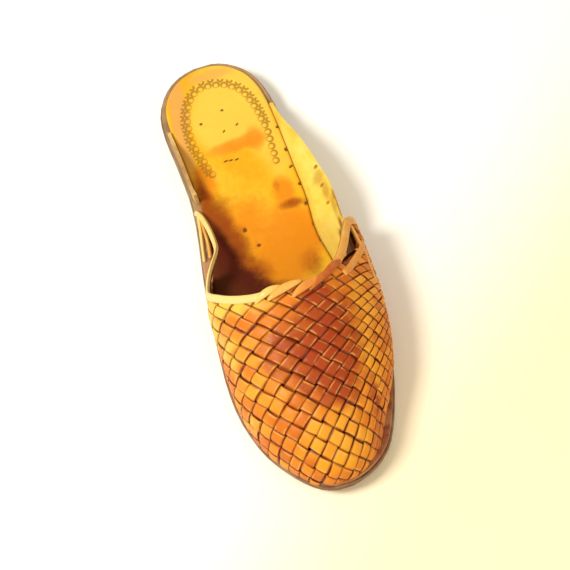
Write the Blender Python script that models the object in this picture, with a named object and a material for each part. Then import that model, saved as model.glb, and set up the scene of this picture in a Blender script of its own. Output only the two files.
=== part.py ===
"""Woven leather slipper for the left foot.

A stacked leather sole carries a footbed, a vamp woven from diagonal strips that is open at the back,
a folded band along its throat, and a smooth ear at each side of the heel.
Along runs from the toe (0) to the heel (1), across runs from the heel's centre line, outer side positive.
"""

import math

import bmesh
import bpy
import numpy as np
from mathutils import Vector
from mathutils.bvhtree import BVHTree
from mathutils.geometry import barycentric_transform

# Sole sizes, in metres
LENGTH = 0.272
BALL_WIDTH = 0.0912
HEEL_LIFT_THICK = 0.0055
OUTSOLE_THICK = 0.0042
MIDSOLE_THICK = 0.0032
INSOLE_THICK = 0.0022
TOE_SPRING = 0.0078
MIDSOLE_STEP = 0.0010
HEEL_STEP = 0.0012
EDGE_BEVEL = 0.0006
SEAM_GAP = 0.0003

# Upper sizes, in metres
VAMP_HEIGHT = 0.0478
WALL_THICK = 0.0016
STRIP_WIDTH = 0.0074
STRIP_RAISE = 0.0011
STRIP_GROOVE = 0.0002
WEAVE_TURN = 45.0
BAND_WIDTH = 0.0048
BAND_THICK = 0.0032
BAND_GAP = 0.0005
EAR_THICK = 0.0020
EAR_HEIGHT = 0.0185
EAR_CLEARANCE = 0.0010

# Where the sole bends, as shares of the length from the toe
SPRING_END = 0.167
FLAT_END = 0.399
LIFT_START = 0.738

# Outline of the outsole: along, across (share of the ball width). Toe, outer side, heel, inner side
SOLE_OUTLINE = [
    (0.000, 0.020), (0.005, 0.116), (0.018, 0.205), (0.038, 0.285), (0.061, 0.344), (0.091, 0.392),
    (0.130, 0.440), (0.178, 0.488), (0.221, 0.521), (0.268, 0.544), (0.318, 0.553), (0.370, 0.542),
    (0.422, 0.511), (0.476, 0.471), (0.536, 0.435), (0.602, 0.407), (0.676, 0.393), (0.748, 0.386),
    (0.811, 0.379), (0.868, 0.366), (0.915, 0.337), (0.953, 0.282), (0.981, 0.197), (0.996, 0.104),
    (1.000, 0.006), (0.996, -0.096), (0.981, -0.205), (0.950, -0.297), (0.910, -0.350),
    (0.862, -0.362), (0.806, -0.350), (0.748, -0.338), (0.694, -0.331), (0.627, -0.344),
    (0.565, -0.373), (0.491, -0.406), (0.417, -0.428), (0.344, -0.442), (0.274, -0.450),
    (0.215, -0.438), (0.172, -0.410), (0.127, -0.366), (0.091, -0.308), (0.055, -0.235),
    (0.025, -0.156), (0.006, -0.072),
]

# Line where the upper's outer face meets the midsole, from the inner side round the toe
FOOT_LINE = [
    (0.785, -0.291), (0.730, -0.298), (0.675, -0.309), (0.627, -0.321), (0.565, -0.346),
    (0.491, -0.378), (0.417, -0.400), (0.344, -0.417), (0.274, -0.424), (0.219, -0.417),
    (0.175, -0.395), (0.131, -0.354), (0.094, -0.299), (0.061, -0.230), (0.033, -0.154),
    (0.015, -0.071), (0.010, 0.016), (0.014, 0.099), (0.028, 0.175), (0.047, 0.241),
    (0.074, 0.296), (0.109, 0.345), (0.150, 0.402), (0.182, 0.445), (0.215, 0.472),
    (0.253, 0.492), (0.289, 0.502), (0.325, 0.504), (0.363, 0.498), (0.410, 0.470),
    (0.469, 0.436), (0.532, 0.403), (0.594, 0.382), (0.657, 0.368), (0.719, 0.364), (0.785, 0.357),
]

# Sections of the upper: along, ridge height (share of the vamp height), ridge place across,
# outward swell of the inner and the outer wall (shares of the ball width)
UPPER_SECTIONS = [
    (0.000, 0.46, 0.030, 0.000, 0.000),
    (0.050, 0.52, 0.032, 0.000, 0.004),
    (0.087, 0.58, 0.034, 0.000, 0.010),
    (0.141, 0.67, 0.038, 0.002, 0.028),
    (0.215, 0.80, 0.042, 0.006, 0.050),
    (0.289, 0.91, 0.045, 0.012, 0.068),
    (0.355, 1.00, 0.046, 0.020, 0.088),
    (0.417, 1.05, 0.046, 0.028, 0.122),
    (0.475, 1.06, 0.044, 0.000, 0.152),
    (0.536, 1.06, 0.040, -0.080, 0.160),
    (0.601, 1.06, 0.036, -0.085, 0.145),
    (0.662, 1.06, 0.032, -0.050, 0.120),
    (0.785, 1.06, 0.030, -0.030, 0.100),
]
RIDGE_START = 0.147
REAR_END = 0.785
FLANK_POWER = 2.4
CROWN_POWER = 2.0
SWELL_POWER = 0.66
SWELL_EASE = 1.8

# Surface of the last: rows of points across it, and a fan round the toe
ROW_STEP = 0.0062
HALF_ROW = 13
FAN_LINES = 25
FOOT_DROP = 0.006

# Edge of the upper from its inner rear end over the throat to its outer rear end: along, girth.
# Girth runs from the inner foot line (-1) over the ridge (0) to the outer foot line (1)
TOPLINE = [
    (0.662, -1.040), (0.655, -0.960), (0.635, -0.895), (0.600, -0.835), (0.560, -0.775), (0.522, -0.705),
    (0.492, -0.695), (0.470, -0.750), (0.450, -0.745), (0.432, -0.665), (0.414, -0.565), (0.394, -0.455),
    (0.377, -0.340), (0.366, -0.230), (0.363, -0.110), (0.363, 0.000), (0.361, 0.100), (0.363, 0.180),
    (0.374, 0.260), (0.392, 0.340), (0.412, 0.405), (0.442, 0.475), (0.474, 0.540), (0.497, 0.600),
    (0.508, 0.690), (0.511, 0.820), (0.509, 1.040),
]
# Openings between the strands of the wings: corners as along, girth
WING_OPENINGS = [
    [(0.622, -0.875), (0.558, -0.790), (0.568, -0.925)],
    [(0.545, -0.745), (0.505, -0.720), (0.520, -0.860)],
    [(0.476, 0.575), (0.405, 0.425), (0.386, 0.450), (0.412, 0.570), (0.446, 0.650)],
]

# Ears: along, height (share of the ear height), outward lean at the top (share of the ball width)
OUTER_EAR = [
    (0.455, 0.56, 0.110),
    (0.500, 0.77, 0.128),
    (0.560, 0.93, 0.138),
    (0.600, 0.96, 0.126),
    (0.635, 0.95, 0.104),
    (0.685, 0.88, 0.082),
    (0.735, 0.75, 0.052),
    (0.775, 0.56, 0.024),
    (0.815, 0.33, 0.005),
    (0.850, 0.16, 0.001),
]
INNER_EAR = [
    (0.671, 0.62, 0.004),
    (0.705, 0.74, 0.008),
    (0.745, 0.70, 0.008),
    (0.785, 0.50, 0.005),
    (0.820, 0.28, 0.002),
    (0.850, 0.18, 0.001),
]
EAR_ROWS = 26
EAR_LEVELS = 6
BAND_ROWS = 84
CELL_EDGES = (0.0, 0.18, 0.82, 1.0)
CELL_REACH = 0.6
EAR_EASE = (0.070, 0.020)
EAR_BEND = 0.6
EAR_OUTER_FALL = 0.985
SEAT_MARGIN = 0.0006
SEAT_EASE = (0.006, 0.030)
OUTER_SEAT_EASE = (0.016, 0.130)


def smooth_line(points, count, closed=False):
    """Points at equal spacing along a curve through the given points."""
    knots = np.array(points, float)
    if closed:
        knots = np.vstack([knots[-1], knots, knots[:2]])
    else:
        knots = np.vstack([2 * knots[0] - knots[1], knots, 2 * knots[-1] - knots[-2]])
    fine = []
    for a, b, c, d in zip(knots, knots[1:], knots[2:], knots[3:]):
        for t in np.linspace(0, 1, 24, endpoint=False):
            fine.append(
                0.5 * (2 * b + (c - a) * t + (2 * a - 5 * b + 4 * c - d) * t**2 + (3 * b - a - 3 * c + d) * t**3)
            )
    fine.append(knots[-2])
    fine = np.array(fine)
    run = np.concatenate([[0], np.cumsum(np.linalg.norm(np.diff(fine, axis=0), axis=1))])
    at = np.linspace(0, run[-1], count, endpoint=not closed)
    return np.stack([np.interp(at, run, fine[:, k]) for k in range(fine.shape[1])], axis=1)


def table_value(rows, column, along):
    """A table's column at a share of the length, by a smooth curve through its rows."""
    x = np.array([row[0] for row in rows])
    y = np.array([row[column] for row in rows])
    slope = np.gradient(y, x)
    i = np.clip(np.searchsorted(x, along) - 1, 0, len(x) - 2)
    h = x[i + 1] - x[i]
    t = np.clip((along - x[i]) / h, 0, 1)
    return (
        (1 + 2 * t) * (1 - t) ** 2 * y[i]
        + t * (1 - t) ** 2 * h * slope[i]
        + t**2 * (3 - 2 * t) * y[i + 1]
        + t**2 * (t - 1) * h * slope[i + 1]
    )


def inset_line(points, depth):
    """The closed outline moved in by a depth."""
    ahead = np.roll(points, -1, axis=0) - np.roll(points, 1, axis=0)
    ahead /= np.linalg.norm(ahead, axis=1)[:, None]
    inward = np.stack([-ahead[:, 1], ahead[:, 0]], axis=1)
    middle = points.mean(axis=0)
    if ((middle - points) * inward).sum() < 0:
        inward = -inward
    return points + inward * depth


def sole_side(inset):
    """Functions that give the outline's inner and outer edge, and its two ends."""
    line = np.array(SOLE_OUTLINE) * (LENGTH, BALL_WIDTH)
    line = smooth_line(line, 720, closed=True)
    line = inset_line(line, inset)
    order = np.roll(line, -int(line[:, 0].argmin()), axis=0)
    heel = int(order[:, 0].argmax())
    outer = order[: heel + 1]
    inner = np.vstack([order[heel:], order[:1]])[::-1]

    def edge(side):
        top = np.maximum.accumulate(side[:, 0])
        return lambda y: np.interp(y, top, side[:, 1])

    return edge(inner), edge(outer), order[0, 0], order[heel, 0]


def sole_bottom(y):
    """Height of the outsole's underside: toe spring, flat forefoot, arch, then flat on the heel lift."""
    along = y / LENGTH
    rise = HEEL_LIFT_THICK + SEAM_GAP
    spring = TOE_SPRING * max(0.0, 1 - along / SPRING_END) ** 2
    t = min(1.0, max(0.0, (along - FLAT_END) / (LIFT_START - FLAT_END)))
    return spring + rise * t * t * (3 - 2 * t)


def midsole_bottom(y):
    return sole_bottom(y) + OUTSOLE_THICK + SEAM_GAP


def midsole_top(y):
    return midsole_bottom(y) + MIDSOLE_THICK


def insole_bottom(y):
    return midsole_top(y) + SEAM_GAP


def insole_top(y):
    return insole_bottom(y) + INSOLE_THICK


def stations(first, last, count):
    """Places along the shoe, closer together near both round ends."""
    angles = np.linspace(0, math.pi, count + 2)[1:-1]
    return (first + last) / 2 - (last - first) / 2 * np.cos(angles)


def material(name, colour, roughness):
    made = bpy.data.materials.new(name)
    made.use_nodes = True
    shader = made.node_tree.nodes["Principled BSDF"]
    shader.inputs["Base Color"].default_value = (*colour, 1)
    shader.inputs["Roughness"].default_value = roughness
    shader.inputs["Metallic"].default_value = 0
    return made


def add_object(name, mesh, look, smooth_angle=40):
    mesh.materials.append(look)
    mesh.shade_smooth()
    mesh.set_sharp_from_angle(angle=math.radians(smooth_angle))
    made = bpy.data.objects.new(name, mesh)
    parts.objects.link(made)
    return made


def skin_rings(name, rings, look):
    """A closed solid through unlike closed sections of the same number of points."""
    shape = bmesh.new()
    rows = [[shape.verts.new(point) for point in ring] for ring in rings]
    size = len(rows[0])
    for row, following in zip(rows, rows[1:]):
        for k in range(size):
            shape.faces.new((row[k], row[(k + 1) % size], following[(k + 1) % size], following[k]))
    shape.faces.new(rows[0])
    shape.faces.new(list(reversed(rows[-1])))
    bmesh.ops.recalc_face_normals(shape, faces=shape.faces)
    mesh = bpy.data.meshes.new(name)
    shape.to_mesh(mesh)
    shape.free()
    return add_object(name, mesh, look)


def leather_layer(name, inner, outer, places, under, over, look):
    """A sole layer: its edges across and its heights are functions of the place along the shoe."""
    rings = []
    for y in places:
        left = float(inner(y))
        right = float(outer(y))
        low = under(y)
        high = over(y)
        bevel = min(EDGE_BEVEL, (high - low) / 4, (right - left) / 6)
        rings.append(
            [
                (left + bevel, y, low),
                (right - bevel, y, low),
                (right, y, low + bevel),
                (right, y, high - bevel),
                (right - bevel, y, high),
                (left + bevel, y, high),
                (left, y, high - bevel),
                (left, y, low + bevel),
            ]
        )
    return skin_rings(name, rings, look)


def foot_curve():
    return smooth_line(np.array(FOOT_LINE) * (LENGTH, BALL_WIDTH), 900)


def rib_shares(up):
    """At a share of the height: how far the wall has come in to the ridge, and its share of the swell."""
    cosine = math.sqrt(max(0.0, 1 - up**CROWN_POWER))
    return 1 - cosine ** (2 / FLANK_POWER), math.sin(math.pi * up**SWELL_POWER) ** SWELL_EASE


def rib(foot, top_place, side_column):
    """Points from below the foot of the wall up to the ridge, on the upper's outer face."""
    base_y, base_x = foot
    ridge_y, ridge_x = top_place
    out = np.array([base_x - ridge_x, base_y - ridge_y])
    out /= np.linalg.norm(out)
    points = [(base_x, base_y, midsole_top(base_y) - FOOT_DROP)]
    for k in range(HALF_ROW + 1):
        up = min(1.0, math.sin(math.pi / 2 * k / HALF_ROW))
        inward, swelling = rib_shares(up)
        y = base_y + (ridge_y - base_y) * inward
        swell = table_value(UPPER_SECTIONS, side_column, y / LENGTH) * BALL_WIDTH * swelling
        height = table_value(UPPER_SECTIONS, 1, y / LENGTH) * VAMP_HEIGHT
        x = base_x + (ridge_x - base_x) * inward + out[0] * swell
        points.append((x, y + out[1] * swell, midsole_top(y) + height * up))
    return points


def wall_across(y, side_column, rise):
    """Where the upper's outer face is across the shoe, at a rise above the midsole."""
    edge = foot_inner if side_column == 3 else foot_outer
    base_x = float(np.interp(y, edge[:, 0], edge[:, 1]))
    ridge_x = table_value(UPPER_SECTIONS, 2, y / LENGTH) * BALL_WIDTH
    inward, swelling = rib_shares(rise / (table_value(UPPER_SECTIONS, 1, y / LENGTH) * VAMP_HEIGHT))
    swell = table_value(UPPER_SECTIONS, side_column, y / LENGTH) * BALL_WIDTH * swelling
    return base_x + (ridge_x - base_x) * inward + math.copysign(swell, swell * (base_x - ridge_x))


def last_surface():
    """Points and triangles of the upper's outer face, as if it also covered the foot behind the throat."""
    foot = foot_curve()
    toe = int(foot[:, 0].argmin())
    inner = foot[: toe + 1][::-1]
    outer = foot[toe:]
    start = RIDGE_START * LENGTH
    rear = REAR_END * LENGTH
    count = max(4, round((rear - start) / ROW_STEP))
    points = []
    rows = []
    for y in np.linspace(start, rear, count + 1):
        ridge_x = table_value(UPPER_SECTIONS, 2, y / LENGTH) * BALL_WIDTH
        left = (y, np.interp(y, inner[:, 0], inner[:, 1]))
        right = (y, np.interp(y, outer[:, 0], outer[:, 1]))
        one = rib(left, (y, ridge_x), 3)
        two = rib(right, (y, ridge_x), 4)
        whole = one + two[-2::-1]
        rows.append(list(range(len(points), len(points) + len(whole))))
        points += whole
    faces = []
    for row, following in zip(rows, rows[1:]):
        for k in range(len(row) - 1):
            faces.append((row[k], row[k + 1], following[k + 1]))
            faces.append((row[k], following[k + 1], following[k]))
    # The fan's lines run from foot points round the toe to the ridge's front end
    half = HALF_ROW + 1
    first = rows[0]
    centre = first[half]
    ridge_x = table_value(UPPER_SECTIONS, 2, RIDGE_START) * BALL_WIDTH
    front = foot[foot[:, 0] <= start]
    picked = np.linspace(0, len(front) - 1, FAN_LINES + 2)[1:-1]
    lines = [first[: half + 1]]
    for place in picked:
        base = front[int(round(place))]
        side_column = 3 if base[1] < ridge_x else 4
        one = rib((base[0], base[1]), (start, ridge_x), side_column)[:-1]
        lines.append(list(range(len(points), len(points) + len(one))) + [centre])
        points += one
    lines.append(first[half:][::-1])
    for line, following in zip(lines, lines[1:]):
        for k in range(half - 1):
            faces.append((following[k], following[k + 1], line[k + 1]))
            faces.append((following[k], line[k + 1], line[k]))
        faces.append((following[half - 1], centre, line[half - 1]))
    return np.array(points), np.array(faces), rows, lines


def flat_pattern(points, faces, passes=30):
    """The surface laid flat with as little stretch as it allows, like a leather pattern off its last."""
    count = len(points)
    corners = points[faces]
    weights = np.zeros((count, count))
    flat = points[:, :2].copy()
    local = []
    for k in range(3):
        a = corners[:, k]
        b = corners[:, (k + 1) % 3] - a
        c = corners[:, (k + 2) % 3] - a
        cot = (b * c).sum(1) / np.maximum(1e-12, np.linalg.norm(np.cross(b, c), axis=1))
        local.append(np.maximum(cot, 0.02) / 2)
        i = faces[:, (k + 1) % 3]
        j = faces[:, (k + 2) % 3]
        np.add.at(weights, (i, j), local[k])
        np.add.at(weights, (j, i), local[k])
    system = np.diag(weights.sum(1)) - weights
    system[0] = 0
    system[0, 0] = 1
    solve = np.linalg.inv(system)
    side = corners[:, 1] - corners[:, 0]
    length = np.linalg.norm(side, axis=1)
    other = corners[:, 2] - corners[:, 0]
    x = (side * other).sum(1) / length
    y = np.linalg.norm(np.cross(side, other), axis=1) / length
    rest = np.zeros((len(faces), 3, 2))
    rest[:, 1, 0] = length
    rest[:, 2, 0] = x
    rest[:, 2, 1] = y
    now = flat[faces]
    turn = (now[:, 1, 0] - now[:, 0, 0]) * (now[:, 2, 1] - now[:, 0, 1])
    turn -= (now[:, 1, 1] - now[:, 0, 1]) * (now[:, 2, 0] - now[:, 0, 0])
    if np.median(turn) < 0:
        rest[:, 2, 1] *= -1
    for _ in range(passes):
        right = np.zeros((count, 2))
        now = flat[faces]
        spin = np.zeros((len(faces), 2, 2))
        for k in range(3):
            i = (k + 1) % 3
            j = (k + 2) % 3
            spin += local[k][:, None, None] * np.einsum("ni,nj->nij", now[:, i] - now[:, j], rest[:, i] - rest[:, j])
        u, _, v = np.linalg.svd(spin)
        sign = np.linalg.det(u @ v)
        u[:, :, 1] *= sign[:, None]
        spin = u @ v
        for k in range(3):
            i = (k + 1) % 3
            j = (k + 2) % 3
            pull = local[k][:, None] * np.einsum("nij,nj->ni", spin, rest[:, i] - rest[:, j])
            np.add.at(right, faces[:, i], pull)
            np.add.at(right, faces[:, j], -pull)
        right[0] = flat[0]
        flat = solve @ right
    return flat


class Last:
    """The upper's surface with its flat pattern, and the way from one to the other."""

    def __init__(self):
        self.points, self.faces, self.rows, self.lines = last_surface()
        self.flat = flat_pattern(self.points, self.faces)
        ridge = [row[HALF_ROW + 1] for row in self.rows]
        run = self.flat[ridge[-1]] - self.flat[ridge[0]]
        turn = math.atan2(run[0], run[1])
        spin = np.array([[math.cos(turn), -math.sin(turn)], [math.sin(turn), math.cos(turn)]])
        self.flat = (self.flat - self.flat[ridge[0]]) @ spin.T
        corners = self.points[self.faces]
        face_normals = np.cross(corners[:, 1] - corners[:, 0], corners[:, 2] - corners[:, 0])
        normals = np.zeros_like(self.points)
        for k in range(3):
            np.add.at(normals, self.faces[:, k], face_normals)
        normals /= np.linalg.norm(normals, axis=1)[:, None]
        if normals[ridge[0]][2] < 0:
            normals = -normals
        self.normals = normals
        verts = [Vector((x, y, 0)) for x, y in self.flat]
        self.tree = BVHTree.FromPolygons(verts, [tuple(int(i) for i in face) for face in self.faces])
        self.verts = verts

    def wrap(self, x, y, lift):
        """A point of the flat pattern, raised by lift, taken onto the last."""
        spot, _, index, _ = self.tree.find_nearest(Vector((x, y, 0)))
        face = self.faces[index]
        flat = [self.verts[i] for i in face]
        place = barycentric_transform(spot, *flat, *[Vector(self.points[i]) for i in face])
        normal = barycentric_transform(spot, *flat, *[Vector(self.normals[i]) for i in face])
        return place + normal.normalized() * lift


def clear_scene():
    for old in list(bpy.data.objects):
        bpy.data.objects.remove(old, do_unlink=True)


def pattern_point(last, along, girth):
    """A place on the flat pattern, by its share of the length and its share of the girth."""
    start = RIDGE_START * LENGTH
    rear = REAR_END * LENGTH
    place = (along * LENGTH - start) / (rear - start) * (len(last.rows) - 1)
    k = int(min(max(place, 0), len(last.rows) - 2))
    found = []
    for row in (last.rows[k], last.rows[k + 1]):
        middle = HALF_ROW + 1
        line = last.flat[row[middle:] if girth >= 0 else row[middle::-1]]
        run = np.concatenate([[0], np.cumsum(np.linalg.norm(np.diff(line, axis=0), axis=1))])
        at = abs(girth) * run[-2]
        found.append(np.array([np.interp(at, run, line[:, 0]), np.interp(at, run, line[:, 1])]))
    share = place - k
    return found[0] * (1 - share) + found[1] * share


def foot_pattern(last):
    """The upper's lower edge on the flat pattern, a seam gap above the midsole, from inner to outer rear."""
    ribs = [row[: HALF_ROW + 2] for row in last.rows[::-1]]
    ribs += [line for line in last.lines[1:-1]]
    ribs += [row[:HALF_ROW:-1] for row in last.rows]
    edge = []
    for one in ribs:
        up = last.flat[one[2]] - last.flat[one[1]]
        edge.append(last.flat[one[1]] + up / np.linalg.norm(up) * SEAM_GAP)
    return np.array(edge)


def shifted(line, depth):
    """An open line moved to its right by a depth."""
    ahead = np.gradient(line, axis=0)
    ahead /= np.linalg.norm(ahead, axis=1)[:, None]
    return line + np.stack([ahead[:, 1], -ahead[:, 0]], axis=1) * depth


def inside(polygon, x, y):
    """Whether a place lies in a polygon."""
    a = polygon
    b = np.roll(polygon, -1, axis=0)
    across = (a[:, 1] > y) != (b[:, 1] > y)
    step = np.where(across, b[:, 1] - a[:, 1], 1.0)
    return bool((across & (x < (b[:, 0] - a[:, 0]) * (y - a[:, 1]) / step + a[:, 0])).sum() % 2)


def upper_polygon(last):
    """The woven panel's cut edge on the flat pattern: along the band, then round the foot."""
    top = smooth_line([pattern_point(last, *row) for row in TOPLINE], BAND_ROWS)
    top = shifted(top, BAND_WIDTH + BAND_GAP)
    foot = foot_pattern(last)
    # The foot line is kept between the points where the band reaches it
    top = np.array([point for point in top if inside(foot, *point)])
    half = len(foot) // 2
    first = int(np.linalg.norm(foot[:half] - top[0], axis=1).argmin()) + 1
    final = half + int(np.linalg.norm(foot[half:] - top[-1], axis=1).argmin()) - 1
    return np.vstack([top, foot[first : final + 1][::-1]])


def weave_slab(polygon):
    """A flat sheet of raised diagonal cells that covers the polygon, with a plain underside."""
    pitch = STRIP_WIDTH
    turn = math.radians(WEAVE_TURN)
    axes = np.array([[math.cos(turn), math.sin(turn)], [-math.sin(turn), math.cos(turn)]])
    own = polygon @ axes.T
    low = np.floor(own.min(axis=0) / pitch).astype(int) - 1
    high = np.ceil(own.max(axis=0) / pitch).astype(int) + 1
    shape = bmesh.new()
    made = {}
    cells = set()
    for i in range(low[0], high[0]):
        for j in range(low[1], high[1]):
            for u in np.linspace(-CELL_REACH, 1 + CELL_REACH, 7):
                for v in np.linspace(-CELL_REACH, 1 + CELL_REACH, 7):
                    x, y = np.array([(i + u) * pitch, (j + v) * pitch]) @ axes
                    if (i, j) not in cells and inside(polygon, x, y):
                        cells.add((i, j))

    def vertex(u, v, lift):
        key = (round(u, 3), round(v, 3), lift > -STRIP_GROOVE)
        if key not in made:
            x, y = np.array([u * pitch, v * pitch]) @ axes
            made[key] = shape.verts.new((x, y, lift))
        return made[key]

    for i, j in sorted(cells):
        for a in range(3):
            for b in range(3):
                corners = []
                for p, q in ((a, b), (a + 1, b), (a + 1, b + 1), (a, b + 1)):
                    raised = STRIP_RAISE if p in (1, 2) and q in (1, 2) else 0.0
                    corners.append(vertex(i + CELL_EDGES[p], j + CELL_EDGES[q], raised))
                shape.faces.new(corners)
        under = [(i, j), (i, j + 1), (i + 1, j + 1), (i + 1, j)]
        shape.faces.new([vertex(p, q, -WALL_THICK) for p, q in under])
        for di, dj, start, end in (
            (0, -1, (i, j), (i + 1, j)),
            (1, 0, (i + 1, j), (i + 1, j + 1)),
            (0, 1, (i + 1, j + 1), (i, j + 1)),
            (-1, 0, (i, j + 1), (i, j)),
        ):
            if (i + di, j + dj) in cells:
                continue
            rim = [vertex(start[0] + (end[0] - start[0]) * t, start[1] + (end[1] - start[1]) * t, 0.0)
                   for t in CELL_EDGES[::-1]]
            shape.faces.new(rim + [vertex(*start, -WALL_THICK), vertex(*end, -WALL_THICK)])
    bmesh.ops.recalc_face_normals(shape, faces=shape.faces)
    mesh = bpy.data.meshes.new("upper")
    shape.to_mesh(mesh)
    shape.free()
    return mesh


def prism(name, polygon, depth):
    """An upright cutter over a flat polygon."""
    shape = bmesh.new()
    face = shape.faces.new([shape.verts.new((x, y, -depth)) for x, y in polygon])
    grown = bmesh.ops.extrude_face_region(shape, geom=[face])
    top = [item for item in grown["geom"] if isinstance(item, bmesh.types.BMVert)]
    bmesh.ops.translate(shape, verts=top, vec=(0, 0, 2 * depth))
    bmesh.ops.recalc_face_normals(shape, faces=shape.faces)
    mesh = bpy.data.meshes.new(name)
    shape.to_mesh(mesh)
    shape.free()
    cutter = bpy.data.objects.new(name, mesh)
    cutter.hide_render = True
    cutter.display_type = "WIRE"
    cutters.objects.link(cutter)
    return cutter


def boolean(target, cutter, operation):
    change = target.modifiers.new(cutter.name, "BOOLEAN")
    change.operation = operation
    change.object = cutter
    change.solver = "EXACT"


def wrapped(last, mesh):
    """The flat mesh taken onto the last, its lower rim kept a seam gap above the midsole."""
    for vertex in mesh.vertices:
        place = last.wrap(vertex.co.x, vertex.co.y, vertex.co.z)
        floor = midsole_top(place.y) + SEAM_GAP
        place.z = max(place.z, floor)
        vertex.co = place


def make_upper(last, look):
    polygon = upper_polygon(last)
    slab = add_object("upper_flat", weave_slab(polygon), look)
    boolean(slab, prism("upper_pattern", polygon, 4 * WALL_THICK), "INTERSECT")
    for number, corners in enumerate(WING_OPENINGS):
        hole = np.array([pattern_point(last, *corner) for corner in corners])
        boolean(slab, prism(f"wing_opening_{number}", hole, 5 * WALL_THICK), "DIFFERENCE")
    bpy.context.view_layer.update()
    graph = bpy.context.evaluated_depsgraph_get()
    mesh = bpy.data.meshes.new_from_object(slab.evaluated_get(graph))
    bpy.data.objects.remove(slab, do_unlink=True)
    wrapped(last, mesh)
    mesh.materials.clear()
    return add_object("upper", mesh, look, 25)


def make_band(last, look):
    """The folded edging: a rounded section carried along the topline."""
    line = smooth_line([pattern_point(last, *row) for row in TOPLINE], BAND_ROWS)
    foot = foot_pattern(last)
    line = np.array([point for point in line if inside(foot, *point)])
    rim = shifted(line, BAND_WIDTH)
    low = -WALL_THICK
    high = low + BAND_THICK
    rings = []
    for start, end in zip(line, rim):
        ring = []
        for share, lift in ((0.0, 0.7), (0.2, 1.0), (0.8, 1.0), (1.0, 0.75), (1.0, 0.25), (0.8, 0.0), (0.2, 0.0), (0.0, 0.3)):
            x, y = start + (end - start) * share
            place = last.wrap(x, y, low + (high - low) * lift)
            place.z = max(place.z, midsole_top(place.y) + SEAM_GAP)
            ring.append(place)
        rings.append(ring)
    return skin_rings("throat_band", rings, look)


def make_ear(name, rows, base, side, look):
    """A leather flap that stands beside the footbed and leans outwards. side is 1 on the outer side."""
    rings = []
    for along in np.linspace(rows[0][0], rows[-1][0], EAR_ROWS):
        y = along * LENGTH
        height = table_value(rows, 1, along) * EAR_HEIGHT
        lean = table_value(rows, 2, along) * BALL_WIDTH
        foot = float(base(y)) + side * SEAM_GAP
        low = insole_bottom(y)
        near = []
        far = []
        for t in np.linspace(0, 1, EAR_LEVELS):
            bend = t * t * (1 + EAR_BEND * (1 - t))
            near.append((foot + side * lean * bend, y, low + height * t))
            far.append((foot + side * (lean * bend + EAR_THICK), y, low + height * t * EAR_OUTER_FALL))
        rings.append(near + far[::-1])
    return skin_rings(name, rings, look)


clear_scene()
parts = bpy.data.collections.new("woven_slipper")
bpy.context.scene.collection.children.link(parts)
cutters = bpy.data.collections.new("cutters")
bpy.context.scene.collection.children.link(cutters)

outsole_look = material("outsole_leather", (0.20, 0.12, 0.07), 0.75)
midsole_look = material("midsole_leather", (0.38, 0.17, 0.07), 0.70)
heel_look = material("heel_leather", (0.17, 0.11, 0.07), 0.80)
insole_look = material("insole_leather", (0.72, 0.42, 0.08), 0.55)
upper_look = material("woven_leather", (0.62, 0.27, 0.05), 0.50)
band_look = material("band_leather", (0.80, 0.58, 0.20), 0.55)
ear_look = material("ear_leather", (0.82, 0.60, 0.20), 0.55)

inner_edge, outer_edge, toe_y, heel_y = sole_side(0)
leather_layer(
    "outsole",
    inner_edge,
    outer_edge,
    stations(toe_y, heel_y, 40),
    sole_bottom,
    lambda y: sole_bottom(y) + OUTSOLE_THICK,
    outsole_look,
)
lift_inner, lift_outer, _, lift_end = sole_side(HEEL_STEP)
lift_places = stations(2 * LIFT_START * LENGTH - lift_end, lift_end, 32)[16:]
leather_layer("heel_lift", lift_inner, lift_outer, lift_places, lambda y: 0.0, lambda y: HEEL_LIFT_THICK, heel_look)
inner_edge, outer_edge, toe_y, heel_y = sole_side(MIDSOLE_STEP)
leather_layer("midsole", inner_edge, outer_edge, stations(toe_y, heel_y, 40), midsole_bottom, midsole_top, midsole_look)

foot = foot_curve()
toe_index = int(foot[:, 0].argmin())
foot_inner = foot[: toe_index + 1][::-1]
foot_outer = foot[toe_index:]
seat_inner, seat_outer, _, seat_end = sole_side(MIDSOLE_STEP + EAR_THICK + 2 * SEAM_GAP + SEAT_MARGIN)


def ramp(along, first, final):
    t = min(1.0, max(0.0, (along - first) / (final - first)))
    return t * t * (3 - 2 * t)


# The footbed inside the upper follows the foot line, moved in by the wall
bed = inset_line(foot, WALL_THICK + 2 * SEAM_GAP)[1:-1]
bed_toe = int(bed[:, 0].argmin())
bed_inner = bed[: bed_toe + 1][::-1]
bed_outer = bed[bed_toe:]


def wall_lean(y, side_column):
    """How far the wall has moved across the shoe at the footbed's top."""
    return wall_across(y, side_column, INSOLE_THICK + 2 * SEAM_GAP) - wall_across(y, side_column, 0.0)


def insole_inner(y):
    wall = np.interp(y, bed_inner[:, 0], bed_inner[:, 1]) + max(0.0, wall_lean(y, 3))
    free = ramp(y / LENGTH, TOPLINE[0][0] + SEAT_EASE[0], TOPLINE[0][0] + SEAT_EASE[1])
    return max(seat_inner(y), wall) * (1 - free) + seat_inner(y) * free


def insole_outer(y):
    wall = np.interp(y, bed_outer[:, 0], bed_outer[:, 1]) + min(0.0, wall_lean(y, 4))
    wall -= (EAR_THICK + EAR_CLEARANCE) * ramp(y / LENGTH, OUTER_EAR[0][0] - EAR_EASE[0], OUTER_EAR[0][0] - EAR_EASE[1])
    free = ramp(y / LENGTH, TOPLINE[-1][0] + OUTER_SEAT_EASE[0], TOPLINE[-1][0] + OUTER_SEAT_EASE[1])
    return min(seat_outer(y), wall) * (1 - free) + seat_outer(y) * free


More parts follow.
